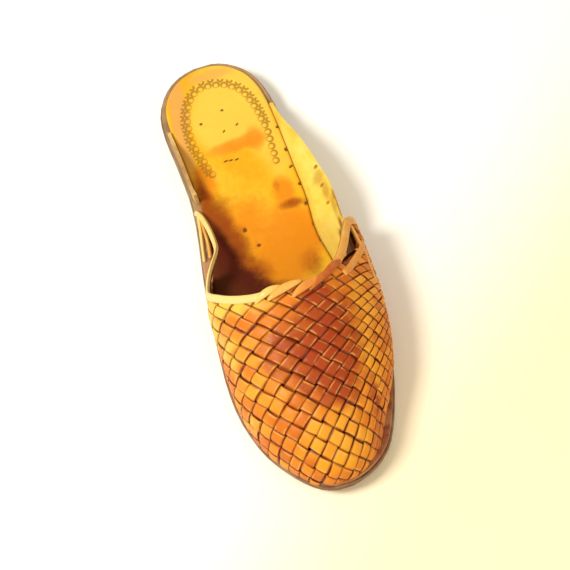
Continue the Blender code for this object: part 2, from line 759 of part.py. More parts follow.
insole_toe = bed[bed_toe][0] + 2 * SEAM_GAP
leather_layer(
    "insole",
    insole_inner,
    insole_outer,
    stations(insole_toe, seat_end, 56),
    insole_bottom,
    insole_top,
    insole_look,
)
make_ear("ear_outer", OUTER_EAR, insole_outer, 1, ear_look)
make_ear("ear_inner", INNER_EAR, insole_inner, -1, ear_look)

last = Last()
make_upper(last, upper_look)
make_band(last, band_look)


def centre_on_floor():
    """The origin goes to the middle of the shoe's footprint."""
    bpy.context.view_layer.update()
    corners = np.array([made.matrix_world @ Vector(corner) for made in parts.objects for corner in made.bound_box])
    low = corners.min(axis=0)
    high = corners.max(axis=0)
    for made in parts.objects:
        made.location = (-(low[0] + high[0]) / 2, -(low[1] + high[1]) / 2, -low[2])


centre_on_floor()
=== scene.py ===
import math
import random

import bmesh
import bpy
import numpy as np
from mathutils import Matrix, Vector
from mathutils.bvhtree import BVHTree
from mathutils.geometry import barycentric_transform


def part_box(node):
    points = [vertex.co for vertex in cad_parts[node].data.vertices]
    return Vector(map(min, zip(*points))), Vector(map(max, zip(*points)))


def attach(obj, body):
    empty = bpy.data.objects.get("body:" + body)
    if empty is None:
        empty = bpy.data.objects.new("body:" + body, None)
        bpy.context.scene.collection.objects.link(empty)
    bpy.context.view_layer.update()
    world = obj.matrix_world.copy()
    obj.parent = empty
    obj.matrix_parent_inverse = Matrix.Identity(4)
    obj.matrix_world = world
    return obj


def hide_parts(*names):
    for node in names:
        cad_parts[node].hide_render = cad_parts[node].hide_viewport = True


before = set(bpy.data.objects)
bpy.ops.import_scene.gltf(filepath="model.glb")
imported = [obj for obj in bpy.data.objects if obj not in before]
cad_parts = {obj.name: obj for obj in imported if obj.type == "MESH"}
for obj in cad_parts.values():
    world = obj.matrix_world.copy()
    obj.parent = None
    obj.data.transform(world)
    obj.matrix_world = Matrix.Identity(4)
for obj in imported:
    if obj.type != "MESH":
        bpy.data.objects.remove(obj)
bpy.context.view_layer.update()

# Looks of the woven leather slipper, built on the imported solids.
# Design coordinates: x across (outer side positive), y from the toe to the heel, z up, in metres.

random.seed(7)

# Sizes and tables shared with the part's source
LENGTH = 0.272
BALL_WIDTH = 0.0912
HEEL_LIFT_THICK = 0.0055
OUTSOLE_THICK = 0.0042
MIDSOLE_THICK = 0.0032
INSOLE_THICK = 0.0022
TOE_SPRING = 0.0078
MIDSOLE_STEP = 0.0010
SEAM_GAP = 0.0003
VAMP_HEIGHT = 0.0478
WALL_THICK = 0.0016
EAR_THICK = 0.0020
EAR_CLEARANCE = 0.0010
SPRING_END = 0.167
FLAT_END = 0.399
LIFT_START = 0.738
SOLE_OUTLINE = [
    (0.000, 0.020), (0.005, 0.116), (0.018, 0.205), (0.038, 0.285), (0.061, 0.344), (0.091, 0.392),
    (0.130, 0.440), (0.178, 0.488), (0.221, 0.521), (0.268, 0.544), (0.318, 0.553), (0.370, 0.542),
    (0.422, 0.511), (0.476, 0.471), (0.536, 0.435), (0.602, 0.407), (0.676, 0.393), (0.748, 0.386),
    (0.811, 0.379), (0.868, 0.366), (0.915, 0.337), (0.953, 0.282), (0.981, 0.197), (0.996, 0.104),
    (1.000, 0.006), (0.996, -0.096), (0.981, -0.205), (0.950, -0.297), (0.910, -0.350),
    (0.862, -0.362), (0.806, -0.350), (0.748, -0.338), (0.694, -0.331), (0.627, -0.344),
    (0.565, -0.373), (0.491, -0.406), (0.417, -0.428), (0.344, -0.442), (0.274, -0.450),
    (0.215, -0.438), (0.172, -0.410), (0.127, -0.366), (0.091, -0.308), (0.055, -0.235),
    (0.025, -0.156), (0.006, -0.072),
]
FOOT_LINE = [
    (0.785, -0.291), (0.730, -0.298), (0.675, -0.309), (0.627, -0.321), (0.565, -0.346),
    (0.491, -0.378), (0.417, -0.400), (0.344, -0.417), (0.274, -0.424), (0.219, -0.417),
    (0.175, -0.395), (0.131, -0.354), (0.094, -0.299), (0.061, -0.230), (0.033, -0.154),
    (0.015, -0.071), (0.010, 0.016), (0.014, 0.099), (0.028, 0.175), (0.047, 0.241),
    (0.074, 0.296), (0.109, 0.345), (0.150, 0.402), (0.182, 0.445), (0.215, 0.472),
    (0.253, 0.492), (0.289, 0.502), (0.325, 0.504), (0.363, 0.498), (0.410, 0.470),
    (0.469, 0.436), (0.532, 0.403), (0.594, 0.382), (0.657, 0.368), (0.719, 0.364), (0.785, 0.357),
]
UPPER_SECTIONS = [
    (0.000, 0.46, 0.030, 0.000, 0.000),
    (0.050, 0.52, 0.032, 0.000, 0.004),
    (0.087, 0.58, 0.034, 0.000, 0.010),
    (0.141, 0.67, 0.038, 0.002, 0.028),
    (0.215, 0.80, 0.042, 0.006, 0.050),
    (0.289, 0.91, 0.045, 0.012, 0.068),
    (0.355, 1.00, 0.046, 0.020, 0.088),
    (0.417, 1.05, 0.046, 0.028, 0.122),
    (0.475, 1.06, 0.044, 0.000, 0.152),
    (0.536, 1.06, 0.040, -0.080, 0.160),
    (0.601, 1.06, 0.036, -0.085, 0.145),
    (0.662, 1.06, 0.032, -0.050, 0.120),
    (0.785, 1.06, 0.030, -0.030, 0.100),
]
RIDGE_START = 0.147
REAR_END = 0.785
FLANK_POWER = 2.4
CROWN_POWER = 2.0
SWELL_POWER = 0.66
SWELL_EASE = 1.8
ROW_STEP = 0.0062
HALF_ROW = 13
FAN_LINES = 25
FOOT_DROP = 0.006
TOPLINE = [
    (0.662, -1.040), (0.655, -0.960), (0.635, -0.895), (0.600, -0.835), (0.560, -0.775), (0.522, -0.705),
    (0.492, -0.695), (0.470, -0.750), (0.450, -0.745), (0.432, -0.665), (0.414, -0.565), (0.394, -0.455),
    (0.377, -0.340), (0.366, -0.230), (0.363, -0.110), (0.363, 0.000), (0.361, 0.100), (0.363, 0.180),
    (0.374, 0.260), (0.392, 0.340), (0.412, 0.405), (0.442, 0.475), (0.474, 0.540), (0.497, 0.600),
    (0.508, 0.690), (0.511, 0.820), (0.509, 1.040),
]
OUTER_EAR_FROM = 0.455
EAR_EASE = (0.070, 0.020)
SEAT_MARGIN = 0.0006
SEAT_EASE = (0.006, 0.030)
OUTER_SEAT_EASE = (0.016, 0.130)

# Camera: the photograph's angle to the shoe, and the picture's width in pixels
CAM_AZIMUTH = -8.0
CAM_HEIGHT = 64.0
CAM_ROLL = -9.7707
CAM_DISTANCE = 0.85
CAM_AIM = (0.005627, 0.12042, 0.01)
CAM_FOCAL = 1554.09
CAM_SENSOR = 36.0
IMAGE = 570

# Lights that point at the origin: name, place, size, power and colour
LIGHTS = [
    ("key", (-0.75, -0.05, 1.05), 0.45, 14.5, (1.0, 0.97, 0.92)),
    ("fill", (0.6, -0.8, 0.9), 0.9, 4.0, (1.0, 0.93, 0.80)),
]
SKY_COLOUR = (1.0, 0.93, 0.80)
SKY_STRENGTH = 0.62
FLOOR_HALF = 3.0

# Lattice of the weave, charted on the picture. For each step along the A strips (up and right):
# step along the B strips (down and right), and the pixel of the crossing's middle
CHART = {
    -5: [
        (9, 319, 477),
    ],
    -4: [
        (3, 254, 423), (4, 265, 431), (5, 276, 440), (8, 312, 459), (9, 323, 465), (10, 336, 468),
        (11, 346, 474),
    ],
    -3: [
        (1, 239, 395), (2, 249, 407), (3, 262, 414), (4, 273, 419), (5, 285, 427), (6, 296, 432),
        (7, 307, 439), (8, 318, 444), (9, 330, 451), (10, 342, 455), (11, 353, 460),
    ],
    -2: [
        (0, 232, 374), (1, 243, 384), (2, 258, 393), (3, 269, 400), (4, 280, 406), (5, 290, 413),
        (6, 303, 420), (7, 313, 426), (8, 325, 431), (9, 335, 436), (10, 346, 442), (11, 357, 447),
        (12, 368, 452),
    ],
    -1: [
        (-1, 225, 352), (0, 237, 364), (1, 251, 374), (2, 263, 379), (3, 277, 388), (4, 286, 395),
        (5, 297, 401), (6, 307, 407), (7, 319, 411), (8, 331, 418), (9, 341, 422), (10, 351, 428),
        (11, 362, 435),
    ],
    0: [
        (-1, 229, 345), (0, 245, 354), (1, 258, 362), (2, 272, 369), (3, 281, 375), (4, 293, 383),
        (6, 316, 393), (8, 335, 406), (9, 345, 408), (10, 355, 416), (11, 365, 422),
    ],
    1: [
        (-1, 236, 336), (0, 251, 342), (1, 267, 352), (2, 279, 358), (3, 292, 364), (5, 313, 376),
        (7, 332, 387), (9, 351, 397), (10, 360, 402),
    ],
    2: [
        (-2, 229, 318), (-1, 244, 326), (0, 261, 333), (4, 310, 358), (6, 333, 368),
    ],
    3: [
        (-2, 238, 311), (-1, 254, 318), (0, 269, 323), (2, 296, 335), (3, 309, 341), (5, 328, 351),
        (7, 348, 358),
    ],
    4: [
        (-1, 268, 305), (0, 281, 312), (1, 295, 319), (2, 309, 323), (4, 328, 333),
    ],
    5: [
        (1, 304, 311),
    ],
}
# How strongly the fit keeps its square and its cubic terms small
SQUARE_EASE = 0.4
CUBE_EASE = 1.2
# The weave stops at these outlines at the wings, where single strands carry on: shares of length and girth
WEAVE_ENDS = [
    [(0.500, -0.60), (0.500, -1.15), (0.700, -1.15), (0.700, -0.60)],
    [(0.490, 0.570), (0.405, 0.400), (0.380, 0.440), (0.402, 0.570), (0.440, 0.670), (0.520, 0.720)],
]
# Strips of each family, their rings a lattice step, their tones, and the fewest rings of a built stretch
FIRST_STRIP = -14
LAST_STRIP = 20
RINGS_A_STEP = 9
STRIP_TONES = 40
FEWEST_RINGS = 4
# How far the flat pattern reaches from its middle, so that no ring far outside it is built
PATTERN_REACH = 0.2
# Section of a strip: share of the half width, height in millimetres from its upper face
SECTION = [
    (-1.0, -0.72), (-0.93, -0.30), (-0.74, -0.04), (-0.32, 0.10), (0.32, 0.10), (0.74, -0.04),
    (0.93, -0.30), (1.0, -0.72), (0.90, -1.0), (0.0, -1.05), (-0.90, -1.0),
]
SECTION_TOP = 4
STRIP_SHARE = 0.455
OVER_LIFT = 0.0012
EDGE_TRIM = 0.0022
FOOT_REACH = 0.0012
BOW_SHARE = 0.7

# Soft patches of colour on the weave: pixel of the middle, radii across and along in millimetres, strength.
# Red is the leather's stain; pale and gold are partly its own tone and partly painted light where the lamp
# falls strongest
WEAVE_TONES = {
    "red": [
        (312, 290, 9, 9, 0.9), (324, 306, 9, 10, 0.75), (326, 335, 11, 12, 0.9), (335, 360, 11, 13, 0.95),
        (316, 362, 9, 12, 0.6), (343, 388, 9, 9, 0.7), (300, 330, 11, 12, 0.45), (350, 335, 8, 14, 0.55),
        (290, 362, 12, 15, 0.45), (272, 352, 8, 10, 0.3), (345, 300, 7, 7, 0.45), (318, 400, 12, 9, 0.35),
        (374, 395, 3, 12, 0.6),
    ],
    # Pale: partly the leather's own lighter tone, partly painted highlight on the side the key light falls
    # on
    "pale": [
        (214, 325, 9, 14, 1.0), (222, 372, 9, 14, 1.0), (214, 302, 9, 9, 1.0), (236, 405, 8, 12, 0.7),
        (230, 352, 8, 13, 0.75), (236, 303, 12, 6, 0.85), (262, 305, 9, 5, 0.6), (250, 422, 7, 9, 0.4),
    ],
    # Gold: partly the leather's own tone, partly painted light at the lower right
    "gold_and_painted_light": [
        (330, 445, 16, 14, 0.7), (350, 425, 10, 12, 0.6), (364, 300, 8, 14, 0.75), (368, 350, 7, 16, 0.65),
        (268, 400, 12, 12, 0.45), (240, 380, 10, 10, 0.4),
    ],
}

# Pixel where the edging's pale roll ends and its folds begin, and the points that both rolls share
ROLL_END = (276, 289)
ROLL_OVERLAP = 14
# Edging along the throat: share of the run, depth of its two edges and lift in millimetres, shade
ROLL = [
    (0, 0.2, 3.4, 0.2, 0.05), (0.30, 0.0, 3.9, 0.5, 0.0), (0.62, 0.0, 4.6, 0.6, 0.0),
    (0.90, 0.0, 4.4, 0.8, 0.05), (0.97, 0.2, 3.0, 1.1, 0.1), (1, 0.8, 1.4, 1.2, 0.15),
]
OUTER_ROLL = [
    (0, 0.0, 3.6, -0.5, 0.15), (0.35, 0.0, 3.8, -0.4, 0.4), (0.50, -0.3, 5.0, 0.3, 0.34),
    (0.75, -0.3, 4.8, 0.3, 0.30), (1, 0.0, 4.4, 0.2, 0.2),
]
ROLL_THICK = 0.0011
STRAND_THICK = 0.0009
FOLD_THICK = 0.0012
FOLD_BOW = 0.0010
# Folds over the throat's edge: two end pixels, half width in millimetres, shade (0 pale to 1 red-brown)
FOLDS = [
    (256, 304, 281, 286, 2.0, 0.18), (268, 301, 302, 281, 2.2, 0.30), (292, 298, 322, 277.5, 2.3, 0.42),
    (309, 291, 333, 270, 2.0, 0.62), (321, 281, 339, 261, 1.9, 0.66),
]
# Strands of the wings: pixels along each, half width and lift in millimetres, shade
STRANDS = [
    ([(207, 292), (203, 277), (205, 262), (203, 246), (200, 232), (199, 216)], 1.3, 0.2, 0.10),
    ([(206, 270), (210, 258), (208, 244), (204, 230), (201, 220)], 0.9, -0.4, 0.35),
    ([(343, 274), (349, 268), (355, 259), (360, 250), (361, 243)], 2.0, 0.6, 0.40),
    ([(374, 282), (369, 268), (364, 255), (357, 240), (350, 227)], 1.1, 0.5, 0.30),
]

# Stamped border of the footbed: pixels along its middle, from the inner arm's front end round the heel
BORDER = [
    (214, 178), (206, 166), (200, 156.5), (193, 146), (189, 133.5), (186.5, 121), (187.5, 107), (194, 93),
    (206, 86), (219, 84), (231, 85.5), (242, 90.5), (250.5, 99), (257, 108.5), (263, 120), (269, 132),
    (272, 144), (275.5, 155), (278.5, 167),
]
CROWN_SHARE = 0.80
STAMP_STEP = 0.0049
RING_RADIUS = 0.0018
RING_INSET = 0.0006
CRESCENT_RADIUS = 0.0014
CRESCENT_OFFSET = 0.0032
STAMP_GROOVE = 0.0010
STAMP_DEPTH = 0.0003
STAMP_REACH = 0.004
SPOT_DEPTH = 0.0005
# Dots and slots of the footbed: pixel, radii across and along in millimetres, turn in degrees
BED_SPOTS = [
    (222, 110, 0.9, 0.7, 0), (201, 124, 0.9, 0.8, 0), (245, 230, 1.3, 1.2, 0), (259, 245, 1.2, 1.1, 0),
    (278, 126, 1.5, 0.8, 20), (291, 166, 1.3, 0.7, 30), (286, 149, 1.0, 1.2, 0), (226, 161, 1.4, 0.5, 10),
    (231, 160, 1.2, 0.5, 10), (237, 159, 1.3, 0.5, 10), (300, 183, 1.2, 0.9, 20), (306, 203, 1.3, 0.9, 20),
    (314, 222, 1.3, 0.9, 30), (321, 238, 1.3, 0.9, 30), (224, 131, 1.1, 0.5, 40), (237, 124, 1.1, 0.5, 40),
]
# Soft patches of colour on the footbed: pixel, radii across and along in millimetres, strength. The brown
# ones are partly stains and partly painted shade from the inner wall; the deep ones are painted shade
# inside the shoe
BED_TONES = {
    "pale": [
        (232, 100, 22, 28, 0.95), (212, 130, 10, 16, 0.6), (268, 130, 10, 34, 0.7), (222, 122, 14, 14, 0.5),
        (262, 95, 8, 12, 0.8),
    ],
    "rim": [
        (178, 100, 4, 18, 0.9), (180, 130, 3.5, 20, 0.9), (188, 160, 3, 16, 0.6), (210, 76, 14, 4, 0.7),
    ],
    "orange": [
        (240, 143, 15, 4.5, 0.6), (255, 138, 5, 9, 0.6), (225, 150, 12, 4, 0.4), (205, 182, 6, 12, 0.9),
        (284, 190, 6, 9, 0.8), (300, 235, 12, 18, 0.85), (280, 262, 16, 18, 0.8), (240, 215, 12, 12, 0.6),
        (270, 225, 18, 16, 0.5),
    ],
    "brown_stain_and_shade": [
        (206, 205, 4, 16, 0.9), (216, 222, 7, 14, 0.9), (228, 240, 9, 12, 0.85), (237, 262, 9, 14, 0.85),
        (258, 278, 9, 12, 0.7), (292, 203, 7, 3, 0.75), (276, 185, 2, 4, 0.4), (312, 262, 6, 8, 0.5),
        (222, 205, 6, 8, 0.4),
    ],
    "deep": [
        (217, 250, 7, 14, 0.9), (226, 272, 10, 14, 1.0), (243, 286, 12, 8, 1.0), (206, 235, 3, 12, 0.7),
        (265, 292, 14, 5, 0.8), (217, 290, 9, 7, 1.0),
    ],
}
# Rows and columns of the footbed's mesh: coarse rows in front of the stamped heel seat, fine rows behind
BED_FINE_FROM = 0.63
BED_COARSE_ROWS = 110
BED_FINE_ROWS = 200
BED_COLUMNS = 110
BED_EDGE_COLUMNS = 15
BED_EDGE_SHARE = 0.06
BED_ROUND = 0.0008
BED_ROUND_WIDTH = 0.0014
# Height where the search for a place on the footbed starts
BED_GUESS = 0.02
# Painted shade on the footbed where the vamp covers it, along the shoe
VAMP_SHADE_SPAN = (0.121, 0.109)

# Brown places of the outer ear, its dots and smears and painted shade along its outer border: pixel, radii
# across and along in millimetres, strength
EAR_MARKS_AND_SHADE = [
    (328, 234, 6.0, 14.0, 0.28), (340.5, 222, 0.8, 3.2, 0.9), (334, 197, 0.9, 3.5, 0.7),
    (338, 205, 0.9, 3.5, 0.75), (341, 212, 0.9, 3.0, 0.75), (316, 170, 1.1, 0.9, 0.9),
    (322, 186, 1.0, 0.9, 0.8), (328, 202, 1.0, 0.9, 0.8), (318, 179, 3.0, 3.5, 0.45),
    (326, 192, 1.6, 5.0, 0.45), (334, 206, 1.2, 6.0, 0.5), (306, 190, 1.0, 2.0, 0.35),
]
# Height of the places above
EAR_LEVEL = 0.026
# Painted shade on the ear's stretch inside the outer wing: across and along the shoe
EAR_WING_SHADE = ((0.0410, 0.0430), (0.139, 0.135))
# Distance between the midsole's stitch slots
STITCH_STEP = 0.0078


def distances(line):
    """Length of the line up to each of its points."""
    return np.concatenate([[0], np.cumsum(np.linalg.norm(np.diff(line, axis=0), axis=1))])


def headings(line):
    """Way ahead at each point of an open line."""
    ahead = np.gradient(line, axis=0)
    return ahead / np.linalg.norm(ahead, axis=1)[:, None]


def cross(one, two):
    """Cross product of flat vectors, row by row."""
    return one[:, 0] * two[:, 1] - one[:, 1] * two[:, 0]


def smooth_line(points, count, closed=False):
    """Points at equal spacing along a curve through the given points."""
    knots = np.array(points, float)
    if closed:
        knots = np.vstack([knots[-1], knots, knots[:2]])
    else:
        knots = np.vstack([2 * knots[0] - knots[1], knots, 2 * knots[-1] - knots[-2]])
    fine = []
    for a, b, c, d in zip(knots, knots[1:], knots[2:], knots[3:]):
        for t in np.linspace(0, 1, 24, endpoint=False):
            square = (2 * a - 5 * b + 4 * c - d) * t**2
            cube = (3 * b - a - 3 * c + d) * t**3
            fine.append(0.5 * (2 * b + (c - a) * t + square + cube))
    fine.append(knots[-2])
    fine = np.array(fine)
    run = distances(fine)
    at = np.linspace(0, run[-1], count, endpoint=not closed)
    return np.stack([np.interp(at, run, fine[:, k]) for k in range(fine.shape[1])], axis=1)


def table_value(rows, column, along):
    """A table's column at a share of the length, by a smooth curve through its rows."""
    x = np.array([row[0] for row in rows])
    y = np.array([row[column] for row in rows])
    slope = np.gradient(y, x)
    i = np.clip(np.searchsorted(x, along) - 1, 0, len(x) - 2)
    h = x[i + 1] - x[i]
    t = np.clip((along - x[i]) / h, 0, 1)
    return (
        (1 + 2 * t) * (1 - t) ** 2 * y[i]
        + t * (1 - t) ** 2 * h * slope[i]
        + t**2 * (3 - 2 * t) * y[i + 1]
        + t**2 * (t - 1) * h * slope[i + 1]
    )


def inset_line(points, depth):
    """The closed outline moved in by a depth."""
    ahead = np.roll(points, -1, axis=0) - np.roll(points, 1, axis=0)
    ahead /= np.linalg.norm(ahead, axis=1)[:, None]
    inward = np.stack([-ahead[:, 1], ahead[:, 0]], axis=1)
    middle = points.mean(axis=0)
    if ((middle - points) * inward).sum() < 0:
        inward = -inward
    return points + inward * depth


def sole_side(inset):
    """Functions that give the outline's inner and outer edge, and its two ends."""
    line = np.array(SOLE_OUTLINE) * (LENGTH, BALL_WIDTH)
    line = smooth_line(line, 720, closed=True)
    line = inset_line(line, inset)
    order = np.roll(line, -int(line[:, 0].argmin()), axis=0)
    heel = int(order[:, 0].argmax())
    outer = order[: heel + 1]
    inner = np.vstack([order[heel:], order[:1]])[::-1]

    def edge(side):
        top = np.maximum.accumulate(side[:, 0])
        return lambda y: np.interp(y, top, side[:, 1])

    return edge(inner), edge(outer), order[0, 0], order[heel, 0]


def sole_bottom(y):
    """Height of the outsole's underside: toe spring, flat forefoot, arch, then flat on the heel lift."""
    along = y / LENGTH
    rise = HEEL_LIFT_THICK + SEAM_GAP
    spring = TOE_SPRING * max(0.0, 1 - along / SPRING_END) ** 2
    t = min(1.0, max(0.0, (along - FLAT_END) / (LIFT_START - FLAT_END)))
    return spring + rise * t * t * (3 - 2 * t)


def midsole_bottom(y):
    return sole_bottom(y) + OUTSOLE_THICK + SEAM_GAP


def midsole_top(y):
    return midsole_bottom(y) + MIDSOLE_THICK


def insole_bottom(y):
    return midsole_top(y) + SEAM_GAP


def insole_top(y):
    return insole_bottom(y) + INSOLE_THICK


def stations(first, last, count):
    """Places along the shoe, closer together near both round ends."""
    angles = np.linspace(0, math.pi, count + 2)[1:-1]
    return (first + last) / 2 - (last - first) / 2 * np.cos(angles)


def foot_curve():
    return smooth_line(np.array(FOOT_LINE) * (LENGTH, BALL_WIDTH), 900)


def rib_shares(up):
    """At a share of the height: how far the wall has come in to the ridge, and its share of the swell."""
    cosine = math.sqrt(max(0.0, 1 - up**CROWN_POWER))
    return 1 - cosine ** (2 / FLANK_POWER), math.sin(math.pi * up**SWELL_POWER) ** SWELL_EASE


def rib(foot, top_place, side_column):
    """Points from below the foot of the wall up to the ridge, on the upper's outer face."""
    base_y, base_x = foot
    ridge_y, ridge_x = top_place
    out = np.array([base_x - ridge_x, base_y - ridge_y])
    out /= np.linalg.norm(out)
    points = [(base_x, base_y, midsole_top(base_y) - FOOT_DROP)]
    for k in range(HALF_ROW + 1):
        up = min(1.0, math.sin(math.pi / 2 * k / HALF_ROW))
        inward, swelling = rib_shares(up)
        y = base_y + (ridge_y - base_y) * inward
        swell = table_value(UPPER_SECTIONS, side_column, y / LENGTH) * BALL_WIDTH * swelling
        height = table_value(UPPER_SECTIONS, 1, y / LENGTH) * VAMP_HEIGHT
        x = base_x + (ridge_x - base_x) * inward + out[0] * swell
        points.append((x, y + out[1] * swell, midsole_top(y) + height * up))
    return points


def wall_across(y, side_column, rise):
    """Where the upper's outer face is across the shoe, at a rise above the midsole."""
    edge = foot_inner if side_column == 3 else foot_outer
    base_x = float(np.interp(y, edge[:, 0], edge[:, 1]))
    ridge_x = table_value(UPPER_SECTIONS, 2, y / LENGTH) * BALL_WIDTH
    inward, swelling = rib_shares(rise / (table_value(UPPER_SECTIONS, 1, y / LENGTH) * VAMP_HEIGHT))
    swell = table_value(UPPER_SECTIONS, side_column, y / LENGTH) * BALL_WIDTH * swelling
    return base_x + (ridge_x - base_x) * inward + math.copysign(swell, swell * (base_x - ridge_x))


def last_surface():
    """Points and triangles of the upper's outer face, as if it also covered the foot behind the throat."""
    foot = foot_curve()
    toe = int(foot[:, 0].argmin())
    inner = foot[: toe + 1][::-1]
    outer = foot[toe:]
    start = RIDGE_START * LENGTH
    rear = REAR_END * LENGTH
    count = max(4, round((rear - start) / ROW_STEP))
    points = []
    rows = []
    for y in np.linspace(start, rear, count + 1):
        ridge_x = table_value(UPPER_SECTIONS, 2, y / LENGTH) * BALL_WIDTH
        left = (y, np.interp(y, inner[:, 0], inner[:, 1]))
        right = (y, np.interp(y, outer[:, 0], outer[:, 1]))
        one = rib(left, (y, ridge_x), 3)
        two = rib(right, (y, ridge_x), 4)
        whole = one + two[-2::-1]
        rows.append(list(range(len(points), len(points) + len(whole))))
        points += whole
    faces = []
    for row, following in zip(rows, rows[1:]):
        for k in range(len(row) - 1):
            faces.append((row[k], row[k + 1], following[k + 1]))
            faces.append((row[k], following[k + 1], following[k]))
    # The fan's lines run from foot points round the toe to the ridge's front end
    half = HALF_ROW + 1
    first = rows[0]
    centre = first[half]
    ridge_x = table_value(UPPER_SECTIONS, 2, RIDGE_START) * BALL_WIDTH
    front = foot[foot[:, 0] <= start]
    picked = np.linspace(0, len(front) - 1, FAN_LINES + 2)[1:-1]
    lines = [first[: half + 1]]
    for place in picked:
        base = front[int(round(place))]
        side_column = 3 if base[1] < ridge_x else 4
        one = rib((base[0], base[1]), (start, ridge_x), side_column)[:-1]
        lines.append(list(range(len(points), len(points) + len(one))) + [centre])
        points += one
    lines.append(first[half:][::-1])
    for line, following in zip(lines, lines[1:]):
        for k in range(half - 1):
            faces.append((following[k], following[k + 1], line[k + 1]))
            faces.append((following[k], line[k + 1], line[k]))
        faces.append((following[half - 1], centre, line[half - 1]))
    return np.array(points), np.array(faces), rows


def flat_pattern(points, faces, passes=30):
    """The surface laid flat with as little stretch as it allows, like a leather pattern off its last."""
    count = len(points)
    corners = points[faces]
    weights = np.zeros((count, count))
    flat = points[:, :2].copy()
    local = []
    for k in range(3):
        a = corners[:, k]
        b = corners[:, (k + 1) % 3] - a
        c = corners[:, (k + 2) % 3] - a
        cot = (b * c).sum(1) / np.maximum(1e-12, np.linalg.norm(np.cross(b, c), axis=1))
        local.append(np.maximum(cot, 0.02) / 2)
        i = faces[:, (k + 1) % 3]
        j = faces[:, (k + 2) % 3]
        np.add.at(weights, (i, j), local[k])
        np.add.at(weights, (j, i), local[k])
    system = np.diag(weights.sum(1)) - weights
    system[0] = 0
    system[0, 0] = 1
    solve = np.linalg.inv(system)
    side = corners[:, 1] - corners[:, 0]
    length = np.linalg.norm(side, axis=1)
    other = corners[:, 2] - corners[:, 0]
    x = (side * other).sum(1) / length
    y = np.linalg.norm(np.cross(side, other), axis=1) / length
    rest = np.zeros((len(faces), 3, 2))
    rest[:, 1, 0] = length
    rest[:, 2, 0] = x
    rest[:, 2, 1] = y
    now = flat[faces]
    turn = (now[:, 1, 0] - now[:, 0, 0]) * (now[:, 2, 1] - now[:, 0, 1])
    turn -= (now[:, 1, 1] - now[:, 0, 1]) * (now[:, 2, 0] - now[:, 0, 0])
    if np.median(turn) < 0:
        rest[:, 2, 1] *= -1
    for _ in range(passes):
        right = np.zeros((count, 2))
        now = flat[faces]
        spin = np.zeros((len(faces), 2, 2))
        for k in range(3):
            i = (k + 1) % 3
            j = (k + 2) % 3
            pairs = np.einsum("ni,nj->nij", now[:, i] - now[:, j], rest[:, i] - rest[:, j])
            spin += local[k][:, None, None] * pairs
        u, _, v = np.linalg.svd(spin)
        sign = np.linalg.det(u @ v)
        u[:, :, 1] *= sign[:, None]
        spin = u @ v
        for k in range(3):
            i = (k + 1) % 3
            j = (k + 2) % 3
            pull = local[k][:, None] * np.einsum("nij,nj->ni", spin, rest[:, i] - rest[:, j])
            np.add.at(right, faces[:, i], pull)
            np.add.at(right, faces[:, j], -pull)
        right[0] = flat[0]
        flat = solve @ right
    return flat


class Last:
    """The upper's surface with its flat pattern, and search trees for both."""

    def __init__(self):
        self.points, self.faces, self.rows = last_surface()
        self.flat = flat_pattern(self.points, self.faces)
        ridge = [row[HALF_ROW + 1] for row in self.rows]
        run = self.flat[ridge[-1]] - self.flat[ridge[0]]
        turn = math.atan2(run[0], run[1])
        spin = np.array([[math.cos(turn), -math.sin(turn)], [math.sin(turn), math.cos(turn)]])
        self.flat = (self.flat - self.flat[ridge[0]]) @ spin.T
        corners = self.points[self.faces]
        face_normals = np.cross(corners[:, 1] - corners[:, 0], corners[:, 2] - corners[:, 0])
        normals = np.zeros_like(self.points)
        for k in range(3):
            np.add.at(normals, self.faces[:, k], face_normals)
        normals /= np.linalg.norm(normals, axis=1)[:, None]
        if normals[ridge[0]][2] < 0:
            normals = -normals
        self.normals = normals
        self.verts = [Vector((x, y, 0)) for x, y in self.flat]
        polygons = [tuple(int(i) for i in face) for face in self.faces]
        self.tree = BVHTree.FromPolygons(self.verts, polygons)
        self.solid_tree = BVHTree.FromPolygons([Vector(p) for p in self.points], polygons)


def pattern_point(last, along, girth):
    """A place on the flat pattern, by its share of the length and its share of the girth."""
    start = RIDGE_START * LENGTH
    rear = REAR_END * LENGTH
    place = (along * LENGTH - start) / (rear - start) * (len(last.rows) - 1)
    k = int(min(max(place, 0), len(last.rows) - 2))
    found = []
    for row in (last.rows[k], last.rows[k + 1]):
        middle = HALF_ROW + 1
        line = last.flat[row[middle:] if girth >= 0 else row[middle::-1]]
        run = distances(line)
        at = abs(girth) * run[-2]
        found.append(np.array([np.interp(at, run, line[:, 0]), np.interp(at, run, line[:, 1])]))
    share = place - k
    return found[0] * (1 - share) + found[1] * share


def inside(polygon, x, y):
    """Whether a place lies in a polygon."""
    a = polygon
    b = np.roll(polygon, -1, axis=0)
    across = (a[:, 1] > y) != (b[:, 1] > y)
    step = np.where(across, b[:, 1] - a[:, 1], 1.0)
    return bool((across & (x < (b[:, 0] - a[:, 0]) * (y - a[:, 1]) / step + a[:, 0])).sum() % 2)


def ramp(along, first, final):
    """Smooth step from 0 at the first place to 1 at the final one."""
    t = min(1.0, max(0.0, (along - first) / (final - first)))
    return t * t * (3 - 2 * t)


def wall_lean(y, side_column):
    """How far the wall has moved across the shoe at the footbed's top."""
    return wall_across(y, side_column, INSOLE_THICK + 2 * SEAM_GAP) - wall_across(y, side_column, 0.0)


def insole_inner(y):
    wall = np.interp(y, bed_inner[:, 0], bed_inner[:, 1]) + max(0.0, wall_lean(y, 3))
    free = ramp(y / LENGTH, TOPLINE[0][0] + SEAT_EASE[0], TOPLINE[0][0] + SEAT_EASE[1])
    return max(seat_inner(y), wall) * (1 - free) + seat_inner(y) * free


